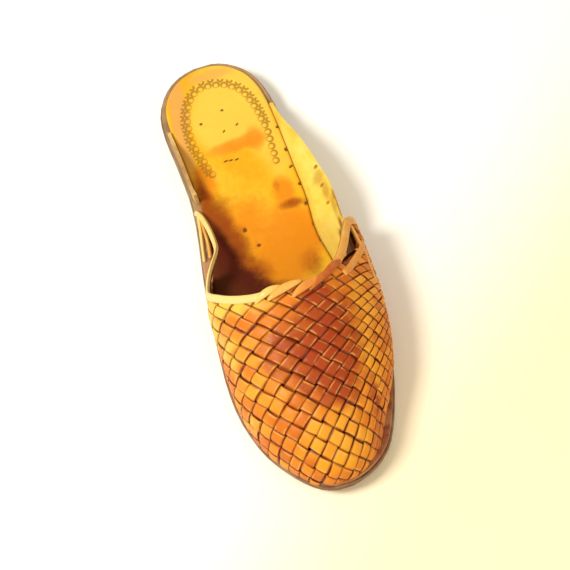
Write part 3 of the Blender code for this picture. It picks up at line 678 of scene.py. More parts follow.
def insole_outer(y):
    wall = np.interp(y, bed_outer[:, 0], bed_outer[:, 1]) + min(0.0, wall_lean(y, 4))
    beside = ramp(y / LENGTH, OUTER_EAR_FROM - EAR_EASE[0], OUTER_EAR_FROM - EAR_EASE[1])
    wall -= (EAR_THICK + EAR_CLEARANCE) * beside
    free = ramp(y / LENGTH, TOPLINE[-1][0] + OUTER_SEAT_EASE[0], TOPLINE[-1][0] + OUTER_SEAT_EASE[1])
    return min(seat_outer(y), wall) * (1 - free) + seat_outer(y) * free


foot = foot_curve()
toe_index = int(foot[:, 0].argmin())
foot_inner = foot[: toe_index + 1][::-1]
foot_outer = foot[toe_index:]
seat_inner, seat_outer, _, seat_end = sole_side(MIDSOLE_STEP + EAR_THICK + 2 * SEAM_GAP + SEAT_MARGIN)
bed = inset_line(foot, WALL_THICK + 2 * SEAM_GAP)[1:-1]
bed_toe = int(bed[:, 0].argmin())
bed_inner = bed[: bed_toe + 1][::-1]
bed_outer = bed[bed_toe:]
_, outline_outer, outline_toe, outline_heel = sole_side(0)
last = Last()
topline = smooth_line([pattern_point(last, *row) for row in TOPLINE], 160)
weave_ends = [np.array([pattern_point(last, *row) for row in ends]) for ends in WEAVE_ENDS]

# World place of the design frame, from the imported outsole
low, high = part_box("outsole")
places = stations(outline_toe, outline_heel, 40)
SHIFT = Vector((high.x - max(float(outline_outer(y)) for y in places), low.y - places[0], 0.0))

azimuth, height, roll = (math.radians(a) for a in (CAM_AZIMUTH, CAM_HEIGHT, CAM_ROLL))
level = Vector((math.cos(azimuth), math.sin(azimuth), 0))
CAM_BACK = Vector((
    math.sin(azimuth) * math.cos(height),
    -math.cos(azimuth) * math.cos(height),
    math.sin(height),
))
CAM_RIGHT = math.cos(roll) * level + math.sin(roll) * CAM_BACK.cross(level)
CAM_UP = -math.sin(roll) * level + math.cos(roll) * CAM_BACK.cross(level)
CAM_PLACE = Vector(CAM_AIM) + SHIFT + CAM_BACK * CAM_DISTANCE


def make_camera():
    data = bpy.data.cameras.new("camera")
    data.sensor_width = CAM_SENSOR
    data.lens = CAM_FOCAL / IMAGE * CAM_SENSOR
    data.clip_start = 0.01
    made = bpy.data.objects.new("camera", data)
    turn = Matrix((CAM_RIGHT, CAM_UP, CAM_BACK)).transposed().to_4x4()
    made.matrix_world = Matrix.Translation(CAM_PLACE) @ turn
    bpy.context.scene.collection.objects.link(made)
    bpy.context.scene.camera = made


def sight(px, py):
    """Direction from the camera through a pixel of the picture."""
    across = (px - IMAGE / 2) / CAM_FOCAL
    down = (py - IMAGE / 2) / CAM_FOCAL
    return (-CAM_BACK + across * CAM_RIGHT - down * CAM_UP).normalized()


def on_pattern(px, py):
    """Flat pattern place under a pixel, or None beside the last."""
    spot, _, index, _ = last.solid_tree.ray_cast(CAM_PLACE - SHIFT, sight(px, py))
    if index is None:
        return None
    face = last.faces[index]
    corners = [Vector(last.points[i]) for i in face]
    flat = barycentric_transform(spot, *corners, *[last.verts[i] for i in face])
    return np.array((flat.x, flat.y))


def on_bed(px, py):
    """Design place on the footbed's top under a pixel."""
    ray = sight(px, py)
    eye = CAM_PLACE - SHIFT
    t = (BED_GUESS - eye.z) / ray.z
    for _ in range(8):
        t = (insole_top(eye.y + ray.y * t) - eye.z) / ray.z
    return np.array((eye.x + ray.x * t, eye.y + ray.y * t))


def on_level(px, py, z):
    """Design place under a pixel at a height."""
    ray = sight(px, py)
    eye = CAM_PLACE - SHIFT
    t = (z - eye.z) / ray.z
    return eye.x + ray.x * t, eye.y + ray.y * t


def wrap_all(xy, lift):
    """Flat pattern places taken onto the curved last, raised by their lifts."""
    xy = np.asarray(xy, float)
    lift = np.broadcast_to(np.asarray(lift, float), (len(xy),))
    spots = np.empty((len(xy), 2))
    index = np.empty(len(xy), int)
    for k, (x, y) in enumerate(xy):
        spot, _, i, _ = last.tree.find_nearest(Vector((x, y, 0)))
        spots[k] = (spot.x, spot.y)
        index[k] = i
    tri = last.faces[index]
    a, b, c = (last.flat[tri[:, k]] for k in range(3))
    whole = cross(b - a, c - a)
    share_b = cross(spots - a, c - a) / whole
    share_c = cross(b - a, spots - a) / whole
    w = np.stack([1 - share_b - share_c, share_b, share_c], axis=1)[:, :, None]
    corners = last.points[tri]
    normals = last.normals[tri]
    place = (w * corners).sum(1)
    normal = (w * normals).sum(1)
    normal /= np.linalg.norm(normal, axis=1)[:, None]
    # Each triangle is bowed towards its corners' tangent planes
    drop = ((place[:, None, :] - corners) * normals).sum(2)
    return place - BOW_SHARE * (w * drop[:, :, None] * normals).sum(1) + normal * lift[:, None]


def lattice_terms(a, b):
    a = np.asarray(a, float) / 8
    b = (np.asarray(b, float) - 4) / 8
    return np.stack([a * 0 + 1, a, b, a * a, a * b, b * b, a**3, a * a * b, a * b * b, b**3], axis=-1)


def fit_lattice():
    """Smooth map from the lattice to the flat pattern, true to the chart and to an even strip width."""
    rows = []
    goals = []
    for a, crossings in CHART.items():
        for b, px, py in crossings:
            found = on_pattern(px, py)
            if found is not None:
                rows.append(lattice_terms(a, b))
                goals.append(found)
    ease = np.diag([0] * 3 + [SQUARE_EASE] * 3 + [CUBE_EASE] * 4)
    goals = np.vstack([np.array(goals), np.zeros((len(ease), 2))])
    return np.linalg.lstsq(np.vstack([np.array(rows), ease]), goals, rcond=None)[0]


LATTICE = fit_lattice()


def patches(xy, table, find):
    """Joint strength of soft patches: pixel of the middle, radii in millimetres, strength."""
    left = np.ones(len(xy))
    for px, py, across, along, strength in table:
        middle = find(px, py)
        if middle is None:
            continue
        gap = (xy - middle) / (across * 0.001, along * 0.001)
        far = np.sqrt((gap**2).sum(1))
        share = np.clip((1.7 - far) / 1.3, 0, 1)
        left *= 1 - strength * share**2 * (3 - 2 * share)
    return 1 - left


def tone_marks(xy, tables, find, pad=0):
    """Attributes that hold the strength of each table's patches, with zeros for the points below."""
    return [(name, np.append(patches(xy, table, find), np.zeros(pad))) for name, table in tables.items()]


def edge_depth(line, xy):
    """Signed depth of places to the right of an open line, and the way back to it."""
    a = line[:-1]
    run = line[1:] - a
    size = (run**2).sum(1)
    best = np.full(len(xy), 1e9)
    depth = np.zeros(len(xy))
    way = np.zeros((len(xy), 2))
    for k in range(len(a)):
        t = np.clip(((xy - a[k]) @ run[k]) / size[k], 0, 1)
        gap = xy - (a[k] + t[:, None] * run[k])
        far = np.linalg.norm(gap, axis=1)
        right = np.array((run[k][1], -run[k][0])) / math.sqrt(size[k])
        near = far < best
        best[near] = far[near]
        depth[near] = np.sign(gap[near] @ right) * far[near]
        way[near] = right
    return depth, way


def new_piece(name, verts, faces, look, attributes):
    mesh = bpy.data.meshes.new(name)
    mesh.from_pydata([tuple(v) for v in verts], [], [tuple(int(i) for i in f) for f in faces])
    mesh.validate()
    for key, values in attributes:
        layer = mesh.attributes.new(key, "FLOAT", "POINT")
        layer.data.foreach_set("value", np.asarray(values, np.float32))
    mesh.transform(Matrix.Translation(SHIFT))
    mesh.shade_smooth()
    mesh.materials.append(look)
    made = bpy.data.objects.new(name, mesh)
    bpy.context.scene.collection.objects.link(made)
    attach(made, "root")
    return made


def face_outward(made):
    shape = bmesh.new()
    shape.from_mesh(made.data)
    bmesh.ops.recalc_face_normals(shape, faces=shape.faces)
    shape.to_mesh(made.data)
    shape.free()


def ring_faces(base, rings, count):
    """Faces of a closed tube over rings of points, with its two ends."""
    faces = []
    for r in range(rings - 1):
        p = base + r * count
        for s in range(count):
            t = (s + 1) % count
            faces.append((p + s, p + t, p + count + t, p + count + s))
    faces.append([base + s for s in range(count)][::-1])
    faces.append([base + (rings - 1) * count + s for s in range(count)])
    return faces


def weave_lift(phase):
    """Height of a strip along its length: over at even places, under at odd ones."""
    wave = np.cos(math.pi * phase)
    return np.clip(wave * 1.35, -1, 1) * (1.5 - 0.5 * np.clip(wave * 1.35, -1, 1) ** 2)


def strip_rings(family, number):
    """Rings along one strip: their points, lift, tone and flat middle, and which of them show."""
    section = np.array(SECTION)
    count = len(section)
    along = np.arange(FIRST_STRIP * RINGS_A_STEP, LAST_STRIP * RINGS_A_STEP + 1) / RINGS_A_STEP
    parity = (number + family) % 2
    lift = (weave_lift(along - parity) + 1) / 2
    tones = np.array([random.random() for _ in range(STRIP_TONES)])
    tone = tones[np.round((along - parity) / 2).astype(int) % STRIP_TONES]
    # Hand-made unevenness: the strip's middle sways and its width swells
    sway = (random.random() - 0.5) * 0.07 + 0.03 * np.sin(along * 1.25 + random.random() * 6)
    sway += 0.018 * np.sin(along * 2.9 + random.random() * 6)
    swell = 1 + 0.035 * np.sin(along * 2.1 + random.random() * 6)
    share = STRIP_SHARE * (0.97 + 0.05 * random.random())
    a = along[:, None] + 0.05 * np.sin(number * 2.3 + section[:, 0] * 0.4)
    b = number + sway[:, None] + share * swell[:, None] * section[None, :, 0]
    if family:
        a, b = b, a
    xy = lattice_terms(a.ravel(), b.ravel()) @ LATTICE
    depth, way = edge_depth(topline, xy)
    alive = depth.reshape(-1, count).max(axis=1) > EDGE_TRIM
    alive &= np.abs(xy.reshape(-1, count, 2)).max(axis=(1, 2)) < PATTERN_REACH
    short = depth < EDGE_TRIM
    xy = np.where(short[:, None], xy + way * (EDGE_TRIM - depth)[:, None], xy)
    middle = xy.reshape(-1, count, 2)[:, SECTION_TOP]
    for k in np.nonzero(alive)[0]:
        alive[k] = not any(inside(ends, *middle[k]) for ends in weave_ends)
    rise = OVER_LIFT * lift * (0.82 + 0.3 * tone)
    lifts = (rise[:, None] + section[None, :, 1] * 0.001).ravel()
    keep = np.repeat(alive, count)
    place = np.zeros((len(xy), 3))
    place[keep] = wrap_all(xy[keep], lifts[keep])
    # A ring that reaches under the midsole's top ends the strip
    floor = np.array([midsole_top(y) for y in place[:, 1]])
    alive &= (place[:, 2] - floor).reshape(-1, count).max(axis=1) > -FOOT_REACH
    return place.reshape(-1, count, 3), lift, tone, middle, alive


def stretches(alive):
    """First ring, and ring past the end, of each stretch of a strip that shows."""
    found = []
    start = None
    for k, live in enumerate([*alive, False]):
        if live and start is None:
            start = k
        if not live and start is not None:
            if k - start >= FEWEST_RINGS:
                found.append((start, k))
            start = None
    return found


def make_weave(look):
    verts = []
    faces = []
    marks = {"low": [], "edge": [], "tone": []}
    flat = []
    count = len(SECTION)
    for family in (0, 1):
        for number in range(FIRST_STRIP, LAST_STRIP):
            place, lift, tone, middle, alive = strip_rings(family, number)
            for start, end in stretches(alive):
                faces += ring_faces(len(verts), end - start, count)
                for r in range(start, end):
                    verts.extend(place[r])
                    marks["low"] += [1 - lift[r]] * count
                    marks["edge"] += [abs(row[0]) for row in SECTION]
                    marks["tone"] += [tone[r]] * count
                    flat += [middle[r]] * count
    attributes = [*marks.items(), *tone_marks(np.array(flat), WEAVE_TONES, on_pattern)]
    made = new_piece("woven_strips", verts, faces, look, attributes)
    face_outward(made)
    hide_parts("upper")


def tube(verts, faces, marks, centre, right, half, lift, thick, shade):
    """A flattened, wrapped tube: middle and way to the right on the flat pattern at each station."""
    ring = [(math.cos(angle), math.sin(angle)) for angle in np.linspace(0, 2 * math.pi, 12, endpoint=False)]
    faces += ring_faces(len(verts), len(centre), len(ring))
    for k in range(len(centre)):
        xy = []
        lifts = []
        for cx, cy in ring:
            xy.append(centre[k] + right[k] * half[k] * math.copysign(abs(cx) ** 0.75, cx))
            lifts.append(lift[k] + thick[k] * math.copysign(abs(cy) ** 0.8, cy))
        for p, (cx, _) in zip(wrap_all(xy, lifts), ring):
            p[2] = max(p[2], midsole_top(p[1]) - 0.0010)
            verts.append(p)
            marks.append((abs(cx), shade[k]))


def line_tube(verts, faces, marks, line, profile, thick):
    """A tube along a line. The profile gives, at a share of its length: depth of its two edges to the
    right of the line and the lift of its middle, in millimetres, and its shade."""
    ahead = headings(line)
    right = np.stack([ahead[:, 1], -ahead[:, 0]], axis=1)
    t = np.linspace(0, 1, len(line))
    table = np.array(profile, float)
    near, far, lift, shade = (np.interp(t, table[:, 0], table[:, k]) for k in (1, 2, 3, 4))
    middle = line + right * ((near + far) / 2 * 0.001)[:, None]
    half = np.maximum((far - near) / 2 * 0.001, 0.0002)
    tube(verts, faces, marks, middle, right, half, lift * 0.001, np.minimum(thick, half * 0.9), shade)


def fold_tube(verts, faces, marks, a, b, half, shade):
    """One fold over the throat's edge, a leaf-shaped bowed strip between two flat places."""
    t = np.linspace(0, 1, 16)
    wave = np.sin(math.pi * t)
    ahead = (b - a) / np.linalg.norm(b - a)
    right = np.array((ahead[1], -ahead[0]))
    middle = a + (b - a) * t[:, None] - right * (wave * FOLD_BOW)[:, None]
    width = half * 0.001 * np.maximum(np.sin(math.pi * (0.03 + 0.94 * t)), 0.05) ** 0.6
    thick = np.minimum(FOLD_THICK, width * 0.8)
    rights = np.tile(right, (len(t), 1))
    tube(verts, faces, marks, middle, rights, width, 0.0010 + 0.0008 * wave, thick, np.full(len(t), shade))


def make_band(look):
    verts = []
    faces = []
    marks = []
    fine = smooth_line([pattern_point(last, *row) for row in TOPLINE], 220)
    end = int(np.linalg.norm(fine - on_pattern(*ROLL_END), axis=1).argmin())
    line_tube(verts, faces, marks, fine[: end + 1], ROLL, ROLL_THICK)
    line_tube(verts, faces, marks, fine[end - ROLL_OVERLAP :], OUTER_ROLL, ROLL_THICK)
    for x0, y0, x1, y1, half, shade in FOLDS:
        fold_tube(verts, faces, marks, on_pattern(x0, y0), on_pattern(x1, y1), half, shade)
    for points, half, lift, shade in STRANDS:
        found = [on_pattern(*point) for point in points]
        line = smooth_line([place for place in found if place is not None], 28)
        profile = [(share, -half, half, lift, shade) for share in (0, 1)]
        line_tube(verts, faces, marks, line, profile, STRAND_THICK)
    marks = np.array(marks)
    attributes = [("edge", marks[:, 0]), ("shade", marks[:, 1])]
    made = new_piece("throat_edging", verts, faces, look, attributes)
    face_outward(made)
    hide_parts("throat_band")


def border_marks(line):
    """Place, way, kind and radius of each stamped mark: a chain of rings, with crescents outside it."""
    run = distances(line)
    ahead = headings(line)
    marks = []
    for k in range(int(run[-1] / STAMP_STEP)):
        at = (k + 0.5) * STAMP_STEP
        place = np.array([np.interp(at, run, line[:, c]) for c in range(2)])
        way = np.array([np.interp(at, run, ahead[:, c]) for c in range(2)])
        right = np.array((way[1], -way[0]))
        marks.append((place + right * RING_INSET, right, "ring", RING_RADIUS))
        if at / run[-1] < CROWN_SHARE:
            outside = place - right * CRESCENT_OFFSET + way * STAMP_STEP / 2
            marks.append((outside, right, "crescent", CRESCENT_RADIUS))
    return marks


def stamp_share(flat):
    """How deep the stamped border presses the footbed, from 0 to 1."""
    stamp = np.zeros(len(flat))
    line = smooth_line([on_bed(*point) for point in BORDER], 400)
    for place, inward, kind, radius in border_marks(line):
        near = np.nonzero(np.abs(flat - place).max(axis=1) < STAMP_REACH)[0]
        gap = flat[near] - place
        groove = np.clip(1 - np.abs(np.linalg.norm(gap, axis=1) - radius) / STAMP_GROOVE, 0, 1)
        side = (gap @ inward) / radius
        groove *= np.clip(side * 2 + 0.9 if kind == "crescent" else 0.8 - 0.4 * side, 0, 1)
        stamp[near] = np.maximum(stamp[near], groove)
    return stamp


def spot_share(flat):
    """How deep the dots and slots go into the footbed, from 0 to 1."""
    spots = np.zeros(len(flat))
    for px, py, wide, long, turn in BED_SPOTS:
        gap = flat - on_bed(px, py)
        c = math.cos(math.radians(turn))
        s = math.sin(math.radians(turn))
        u = (gap[:, 0] * c + gap[:, 1] * s) / (wide * 0.001)
        v = (gap[:, 1] * c - gap[:, 0] * s) / (long * 0.001)
        spots = np.maximum(spots, np.clip(1.6 - np.sqrt(u * u + v * v), 0, 1))
    return spots


def make_bed(look):
    """The footbed's top with its stamped border and marks, closed below."""
    first = bed[bed_toe][0] + 2 * SEAM_GAP + 0.0006
    fine_from = BED_FINE_FROM * LENGTH
    coarse = np.linspace(first, fine_from, BED_COARSE_ROWS, endpoint=False)
    ys = np.concatenate([coarse, np.linspace(fine_from, seat_end - 0.0002, BED_FINE_ROWS)])
    edge = (1 - np.cos(math.pi * np.linspace(0, 1, BED_EDGE_COLUMNS))) / 2 * BED_EDGE_SHARE
    wide = np.linspace(BED_EDGE_SHARE, 1 - BED_EDGE_SHARE, BED_COLUMNS)
    across = np.concatenate([edge[:-1], wide, (1 - edge[::-1])[1:]])
    rows = len(ys)
    n = len(across)
    left = np.array([insole_inner(y) for y in ys])
    right = np.array([insole_outer(y) for y in ys])
    x = left[:, None] + (right - left)[:, None] * across
    y = np.repeat(ys[:, None], n, axis=1)
    flat = np.stack([x.ravel(), y.ravel()], axis=1)
    stamp = stamp_share(flat)
    spots = spot_share(flat)
    top = np.array([insole_top(value) for value in ys])
    side = np.minimum(x - left[:, None], right[:, None] - x)
    rounding = BED_ROUND * np.clip(1 - side / BED_ROUND_WIDTH, 0, 1) ** 2
    z = top[:, None] - rounding - (STAMP_DEPTH * stamp + SPOT_DEPTH * spots).reshape(rows, n)
    verts = list(np.stack([x.ravel(), y.ravel(), z.ravel()], axis=1))
    faces = []
    for r in range(rows - 1):
        for s in range(n - 1):
            p = r * n + s
            faces.append((p, p + 1, p + n + 1, p + n))
    under = len(verts)
    for r, value in enumerate(ys):
        verts.append((left[r], value, insole_bottom(value)))
        verts.append((right[r], value, insole_bottom(value)))
    for r in range(rows - 1):
        a = under + 2 * r
        p = r * n
        faces.append((a, a + 2, a + 3, a + 1))
        faces.append((a, p, p + n, a + 2))
        faces.append((a + 1, a + 3, p + 2 * n - 1, p + n - 1))
    faces.append([*range(n), under + 1, under])
    last_row = (rows - 1) * n
    corner = under + 2 * rows - 2
    faces.append([corner, corner + 1, *range(last_row + n - 1, last_row - 1, -1)])
    pad = np.zeros(2 * rows)
    attributes = [("stamp", np.append(stamp, pad)), ("spots", np.append(spots, pad))]
    attributes += tone_marks(flat, BED_TONES, on_bed, len(pad))
    made = new_piece("footbed", verts, faces, look, attributes)
    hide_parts("insole")


class Look:
    """A small helper to write a node material."""

    def __init__(self, name, roughness, specular=0.3, coat=0.0):
        self.material = bpy.data.materials.new(name)
        self.material.use_nodes = True
        self.tree = self.material.node_tree
        self.shader = self.tree.nodes["Principled BSDF"]
        self.shader.inputs["Roughness"].default_value = roughness
        self.shader.inputs["Coat Weight"].default_value = coat
        self.shader.inputs["Specular IOR Level"].default_value = specular
        self.place = self.tree.nodes.new("ShaderNodeTexCoord").outputs["Object"]

    def put(self, socket, value):
        if isinstance(value, bpy.types.NodeSocket):
            self.tree.links.new(value, socket)
        else:
            socket.default_value = value

    def node(self, kind, inputs, **settings):
        made = self.tree.nodes.new(kind)
        for key, value in settings.items():
            setattr(made, key, value)
        for key, value in inputs.items():
            self.put(made.inputs[key], value)
        return made

    def math(self, operation, a, b=0.0):
        return self.node("ShaderNodeMath", {0: a, 1: b}, operation=operation).outputs[0]

    def times(self, a, b):
        return self.math("MULTIPLY", a, b)

    def plus(self, a, b):
        return self.math("ADD", a, b)

    def mark(self, name):
        return self.node("ShaderNodeAttribute", {}, attribute_name=name).outputs["Fac"]

    def noise(self, scale, detail=3.0, rough=0.55, stretch=(1, 1, 1)):
        at = self.node("ShaderNodeMapping", {"Vector": self.place, "Scale": stretch}).outputs[0]
        inputs = {"Vector": at, "Scale": scale, "Detail": detail, "Roughness": rough}
        return self.node("ShaderNodeTexNoise", inputs).outputs["Fac"]

    def about_half(self, value, width):
        """The value's distance from a half, times a width."""
        return self.times(self.math("SUBTRACT", value, 0.5), width)

    def ramp(self, value, stops):
        made = self.node("ShaderNodeValToRGB", {"Fac": value})
        ramp = made.color_ramp
        while len(ramp.elements) > 1:
            ramp.elements.remove(ramp.elements[-1])
        for k, (at, colour) in enumerate(stops):
            element = ramp.elements[0] if k == 0 else ramp.elements.new(at)
            element.position = at
            element.color = (*colour, 1)
        return made.outputs["Color"]

    def shades(self, scale, dark, mid, light):
        """Leather in three shades, from place to place."""
        return self.ramp(self.noise(scale, 4, 0.6), [(0.3, dark), (0.5, mid), (0.7, light)])

    def span(self, value, a, b, c=0.0, d=1.0):
        """The range from a to b, taken smoothly onto the range from c to d."""
        inputs = {"Value": value, "From Min": a, "From Max": b, "To Min": c, "To Max": d}
        return self.node("ShaderNodeMapRange", inputs, interpolation_type="SMOOTHSTEP").outputs["Result"]

    def mix(self, share, one, two, kind="MIX"):
        made = self.node("ShaderNodeMix", {}, data_type="RGBA", blend_type=kind)
        for key, value in ((0, share), (6, one), (7, two)):
            self.put(made.inputs[key], (*value, 1) if isinstance(value, tuple) else value)
        return made.outputs[2]

    def over(self, base, share, most, colour):
        """A colour laid over the base, by a share and at most this strong."""
        return self.mix(self.times(share, most), base, colour)

    def axes(self):
        return self.node("ShaderNodeSeparateXYZ", {"Vector": self.place}).outputs

    def across(self, a, b):
        """From 0 at design place a across the shoe to 1 at b."""
        return self.span(self.axes()[0], SHIFT.x + a, SHIFT.x + b)

    def along(self, a, b):
        """From 0 at design place a along the shoe to 1 at b."""
        return self.span(self.axes()[1], SHIFT.y + a, SHIFT.y + b)

    def spot(self, x, y, across, along):
        """A soft patch around a design place, with a ragged edge."""
        axes = self.axes()
        u = self.math("DIVIDE", self.math("SUBTRACT", axes[0], x + SHIFT.x), across)
        v = self.math("DIVIDE", self.math("SUBTRACT", axes[1], y + SHIFT.y), along)
        far = self.math("SQRT", self.plus(self.times(u, u), self.times(v, v)))
        return self.span(self.plus(far, self.about_half(self.noise(150), 0.6)), 0.4, 1.6, 1.0, 0.0)

    def grain(self, fine, coarse, strength, distance):
        """Leather's surface as bump, from a fine noise and a coarse one."""
        inputs = {"Height": self.plus(fine, coarse), "Strength": strength, "Distance": distance}
        return self.node("ShaderNodeBump", inputs).outputs["Normal"]

    def gloss(self, noise, low, high):
        """Roughness from low to high, from place to place."""
        return self.span(noise, 0.3, 0.7, low, high)

    def finish(self, colour, normal=None, rough=None, depth=(1.0, 1.0, 1.0)):
        """The material, its colour deepened by a factor for each channel."""
        self.put(self.shader.inputs["Base Color"], self.mix(1.0, colour, depth, "MULTIPLY"))
        if normal is not None:
            self.put(self.shader.inputs["Normal"], normal)
        if rough is not None:
            self.put(self.shader.inputs["Roughness"], rough)
        return self.material


def woven_look():
    look = Look("woven_leather", 0.6, 0.22, 0.05)
    look.shader.inputs["Coat Roughness"].default_value = 0.35
    tone = look.mark("tone")
    shade = look.plus(look.times(tone, 0.55), look.times(look.noise(60, 3), 0.45))
    base = look.ramp(shade, [
        (0.22, (0.64, 0.19, 0.010)), (0.48, (0.80, 0.28, 0.016)), (0.75, (0.92, 0.41, 0.04)),
    ])
    ragged = look.plus(look.about_half(look.noise(75, 3), 0.7), look.about_half(tone, 0.35))
    # Gold patches: partly the leather's own tone, partly painted light
    gold_and_painted_light = look.span(look.plus(look.mark("gold_and_painted_light"), ragged), 0.15, 0.85)
    base = look.over(base, gold_and_painted_light, 0.75, (0.93, 0.50, 0.04))
    red = look.span(look.plus(look.mark("red"), ragged), 0.18, 0.85)
    base = look.over(base, red, 0.9, (0.36, 0.040, 0.002))
    # Pale patches: partly the leather's own tone, partly painted highlight on the lit left side
    pale = look.span(look.plus(look.mark("pale"), ragged), 0.2, 0.8)
    base = look.over(base, pale, 0.9, (0.97, 0.72, 0.14))
    # Painted highlight: light lines beside each strip's edge, where the key light grazes it
    edge = look.mark("edge")
    painted_edge_highlight = look.times(look.span(edge, 0.50, 0.74), look.span(edge, 0.92, 0.78))
    painted_edge_highlight = look.times(painted_edge_highlight, look.span(look.noise(140, 2), 0.42, 0.62, 0.0, 0.5))
    base = look.mix(painted_edge_highlight, base, (0.98, 0.62, 0.22))
    # Painted shade: dark edges, and dark ends where a strip goes under the next, lighter where the pale
    # patches lie
    low = look.span(look.mark("low"), 0.10, 0.62)
    dark = look.math("MAXIMUM", low, look.times(look.span(edge, 0.78, 0.97), 0.88))
    dark = look.times(dark, look.span(look.noise(95, 3), 0.35, 0.6, 0.72, 1.0))
    painted_crevice_shade = look.mix(pale, (0.150, 0.020, 0.001), (0.30, 0.15, 0.012))
    colour = look.mix(dark, base, painted_crevice_shade)
    normal = look.grain(look.times(look.noise(900, 4, 0.6), 0.4), look.noise(160, 3, 0.5), 0.6, 0.0007)
    return look.finish(colour, normal, look.gloss(look.noise(120, 3), 0.38, 0.62), (0.84, 0.68, 0.40))


def edging_look():
    look = Look("edging_leather", 0.5, coat=0.08)
    shade = look.plus(look.mark("shade"), look.about_half(look.noise(110, 3), 0.35))
    base = look.ramp(shade, [
        (0.0, (0.93, 0.74, 0.32)), (0.2, (0.92, 0.62, 0.17)), (0.4, (0.83, 0.36, 0.06)),
        (0.7, (0.52, 0.10, 0.010)),
    ])
    # Painted shade: the sides of each roll, fold and strand darkened where they meet the weave
    colour = look.over(base, look.span(look.mark("edge"), 0.82, 1.0), 0.7, (0.13, 0.035, 0.004))
    normal = look.grain(look.noise(700, 4, 0.6), look.noise(160, 2, 0.5), 0.5, 0.0006)
    return look.finish(colour, normal, look.gloss(look.noise(90, 2), 0.4, 0.6), (0.86, 0.76, 0.58))


def bed_look():
    look = Look("footbed_leather", 0.55, 0.12)
    ragged = look.about_half(look.noise(85, 6, 0.7), 0.8)

    def share(name, a=0.15, b=0.85):
        return look.span(look.plus(look.mark(name), ragged), a, b)

    base = look.shades(45, (0.86, 0.42, 0.012), (0.93, 0.52, 0.018), (0.96, 0.62, 0.05))
    base = look.mix(look.span(look.noise(260, 4, 0.7), 0.35, 0.65, 0.0, 0.28), base, (0.70, 0.36, 0.02))
    base = look.over(base, share("pale"), 0.80, (0.97, 0.68, 0.11))
    base = look.over(base, share("rim"), 0.8, (0.78, 0.42, 0.13))
    base = look.over(base, share("orange"), 0.85, (0.80, 0.26, 0.006))
    # Brown patches: partly stains, partly painted shade cast by the inner wall
    base = look.over(base, share("brown_stain_and_shade", 0.05, 1.0), 0.92, (0.27, 0.036, 0.001))
    # Deep patches: painted shade inside the shoe, under the vamp
    base = look.over(base, share("deep", 0.15, 0.95), 0.97, (0.085, 0.008, 0.0003))
    # Painted shade on the footbed under the vamp
    base = look.over(base, look.along(*VAMP_SHADE_SPAN), 0.9, (0.10, 0.02, 0.001))
    base = look.over(base, look.span(look.mark("stamp"), 0.08, 0.6), 0.80, (0.36, 0.19, 0.018))
    base = look.over(base, look.span(look.mark("spots"), 0.2, 0.8), 0.85, (0.12, 0.035, 0.004))
    normal = look.grain(look.times(look.noise(1000, 4, 0.6), 0.5), look.noise(220, 3, 0.5), 0.45, 0.0005)
    return look.finish(base, normal, look.gloss(look.noise(80, 2), 0.42, 0.6), (0.86, 0.78, 0.62))


def sole_look(name, toe, heel, slots):
    look = Look(name, 0.7)
    base = look.mix(look.along(0.09, 0.20), toe, heel)
    patch = look.span(look.noise(90, 4, 0.6, (1, 1, 3)), 0.3, 0.7)
    base = look.over(base, patch, 0.55, tuple(min(1.0, 1.9 * c) for c in heel))
    # Layers of the stacked edge, and the stitch slots along the inner side
    layer = look.noise(1.0, 2, 0.5, (20, 20, 1400))
    base = look.over(base, look.span(layer, 0.5, 0.62), 0.4, (0.06, 0.03, 0.012))
    if slots:
        wave = look.math("SINE", look.times(look.axes()[1], 2 * math.pi / STITCH_STEP))
        slot = look.times(look.span(wave, 0.72, 0.92), look.along(0.12, 0.10))
        base = look.over(base, look.times(slot, look.across(0.0, -0.01)), 0.8, (0.04, 0.015, 0.005))
    normal = look.grain(look.noise(500, 4, 0.6, (1, 1, 3)), look.noise(130, 2, 0.5), 0.6, 0.0006)
    return look.finish(base, normal)


def outer_ear_look():
    look = Look("ear_leather", 0.55, 0.15)
    colour = look.shades(60, (0.80, 0.54, 0.06), (0.92, 0.70, 0.13), (0.95, 0.78, 0.22))
    # Brown dots and smears, and painted shade along the ear's outer border
    for px, py, across, along, strength in EAR_MARKS_AND_SHADE:
        mark = look.spot(*on_level(px, py, EAR_LEVEL), across * 0.001, along * 0.001)
        colour = look.over(colour, mark, strength, (0.30, 0.11, 0.012))
    # Painted shade where the ear lies inside the outer wing
    painted_wing_shade = look.times(look.across(*EAR_WING_SHADE[0]), look.along(*EAR_WING_SHADE[1]))
    colour = look.over(colour, painted_wing_shade, 0.97, (0.07, 0.012, 0.001))
    normal = look.grain(look.noise(600, 4, 0.6), look.noise(140, 2, 0.5), 0.5, 0.0005)
    return look.finish(colour, normal, None, (0.92, 0.86, 0.68))


def inner_ear_look():
    look = Look("inner_ear_leather", 0.6)
    colour = look.shades(60, (0.38, 0.21, 0.06), (0.56, 0.35, 0.11), (0.72, 0.50, 0.20))
    normal = look.grain(look.noise(360, 4, 0.6), look.noise(90, 2, 0.5), 0.5, 0.0005)
    return look.finish(colour, normal, look.gloss(look.noise(60, 2), 0.5, 0.7))


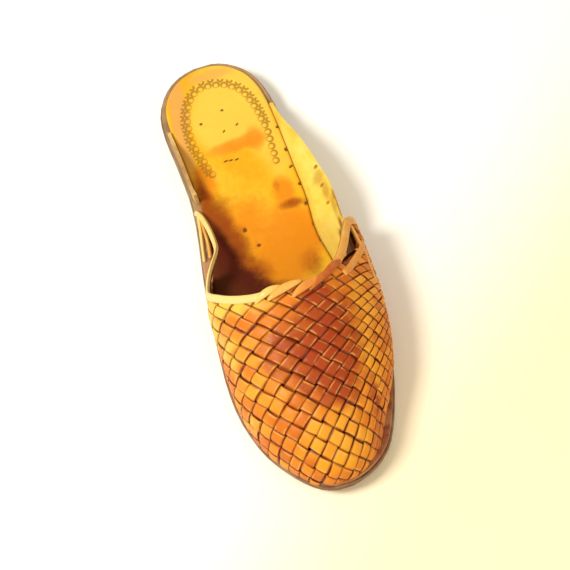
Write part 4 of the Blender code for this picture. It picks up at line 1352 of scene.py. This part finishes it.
def make_light(name, place, size, power, colour):
    data = bpy.data.lights.new(name, "AREA")
    data.shape = "DISK"
    data.size = size
    data.energy = power
    data.color = colour
    made = bpy.data.objects.new(name, data)
    made.location = place
    made.rotation_euler = (-Vector(place)).to_track_quat("-Z", "Y").to_euler()
    bpy.context.scene.collection.objects.link(made)


def make_stage():
    """A pale floor, creamier beside and in front of the forefoot, partly its own tone and partly painted
    warm bounce light for the shadow there, two soft lights and a warm sky.
    """
    mesh = bpy.data.meshes.new("floor")
    corners = [(x * FLOOR_HALF, y * FLOOR_HALF, 0) for x, y in ((-1, -1), (1, -1), (1, 1), (-1, 1))]
    mesh.from_pydata(corners, [], [(0, 1, 2, 3)])
    look = Look("floor", 0.6)
    axes = look.axes()
    # Cream: partly the floor's own tone, partly painted warm bounce light that warms the shadow beside the
    # forefoot
    cream_and_painted_bounce = look.span(look.math("SUBTRACT", look.times(axes[0], 0.7), axes[1]), 0.02, 0.19)
    mesh.materials.append(look.finish(look.mix(cream_and_painted_bounce, (0.97, 0.955, 0.92), (0.965, 0.82, 0.52))))
    floor = bpy.data.objects.new("floor", mesh)
    bpy.context.scene.collection.objects.link(floor)
    for row in LIGHTS:
        make_light(*row)
    world = bpy.data.worlds.new("studio")
    world.use_nodes = True
    world.node_tree.nodes["Background"].inputs[0].default_value = (*SKY_COLOUR, 1)
    world.node_tree.nodes["Background"].inputs[1].default_value = SKY_STRENGTH
    bpy.context.scene.world = world
    view = bpy.context.scene.view_settings
    view.view_transform = "Standard"
    view.look = "None"
    view.exposure = 0.0


def dress(name, material):
    """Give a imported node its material."""
    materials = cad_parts[name].data.materials
    materials.clear()
    materials.append(material)


make_camera()
make_stage()
outsole_look = sole_look("outsole_leather", (0.20, 0.075, 0.028), (0.22, 0.155, 0.085), False)
dress("outsole", outsole_look)
dress("heel_lift", outsole_look)
dress("midsole", sole_look("midsole_leather", (0.34, 0.075, 0.020), (0.30, 0.18, 0.085), True))
dress("ear_outer", outer_ear_look())
dress("ear_inner", inner_ear_look())
make_bed(bed_look())
make_weave(woven_look())
make_band(edging_look())

bpy.context.view_layer.update()
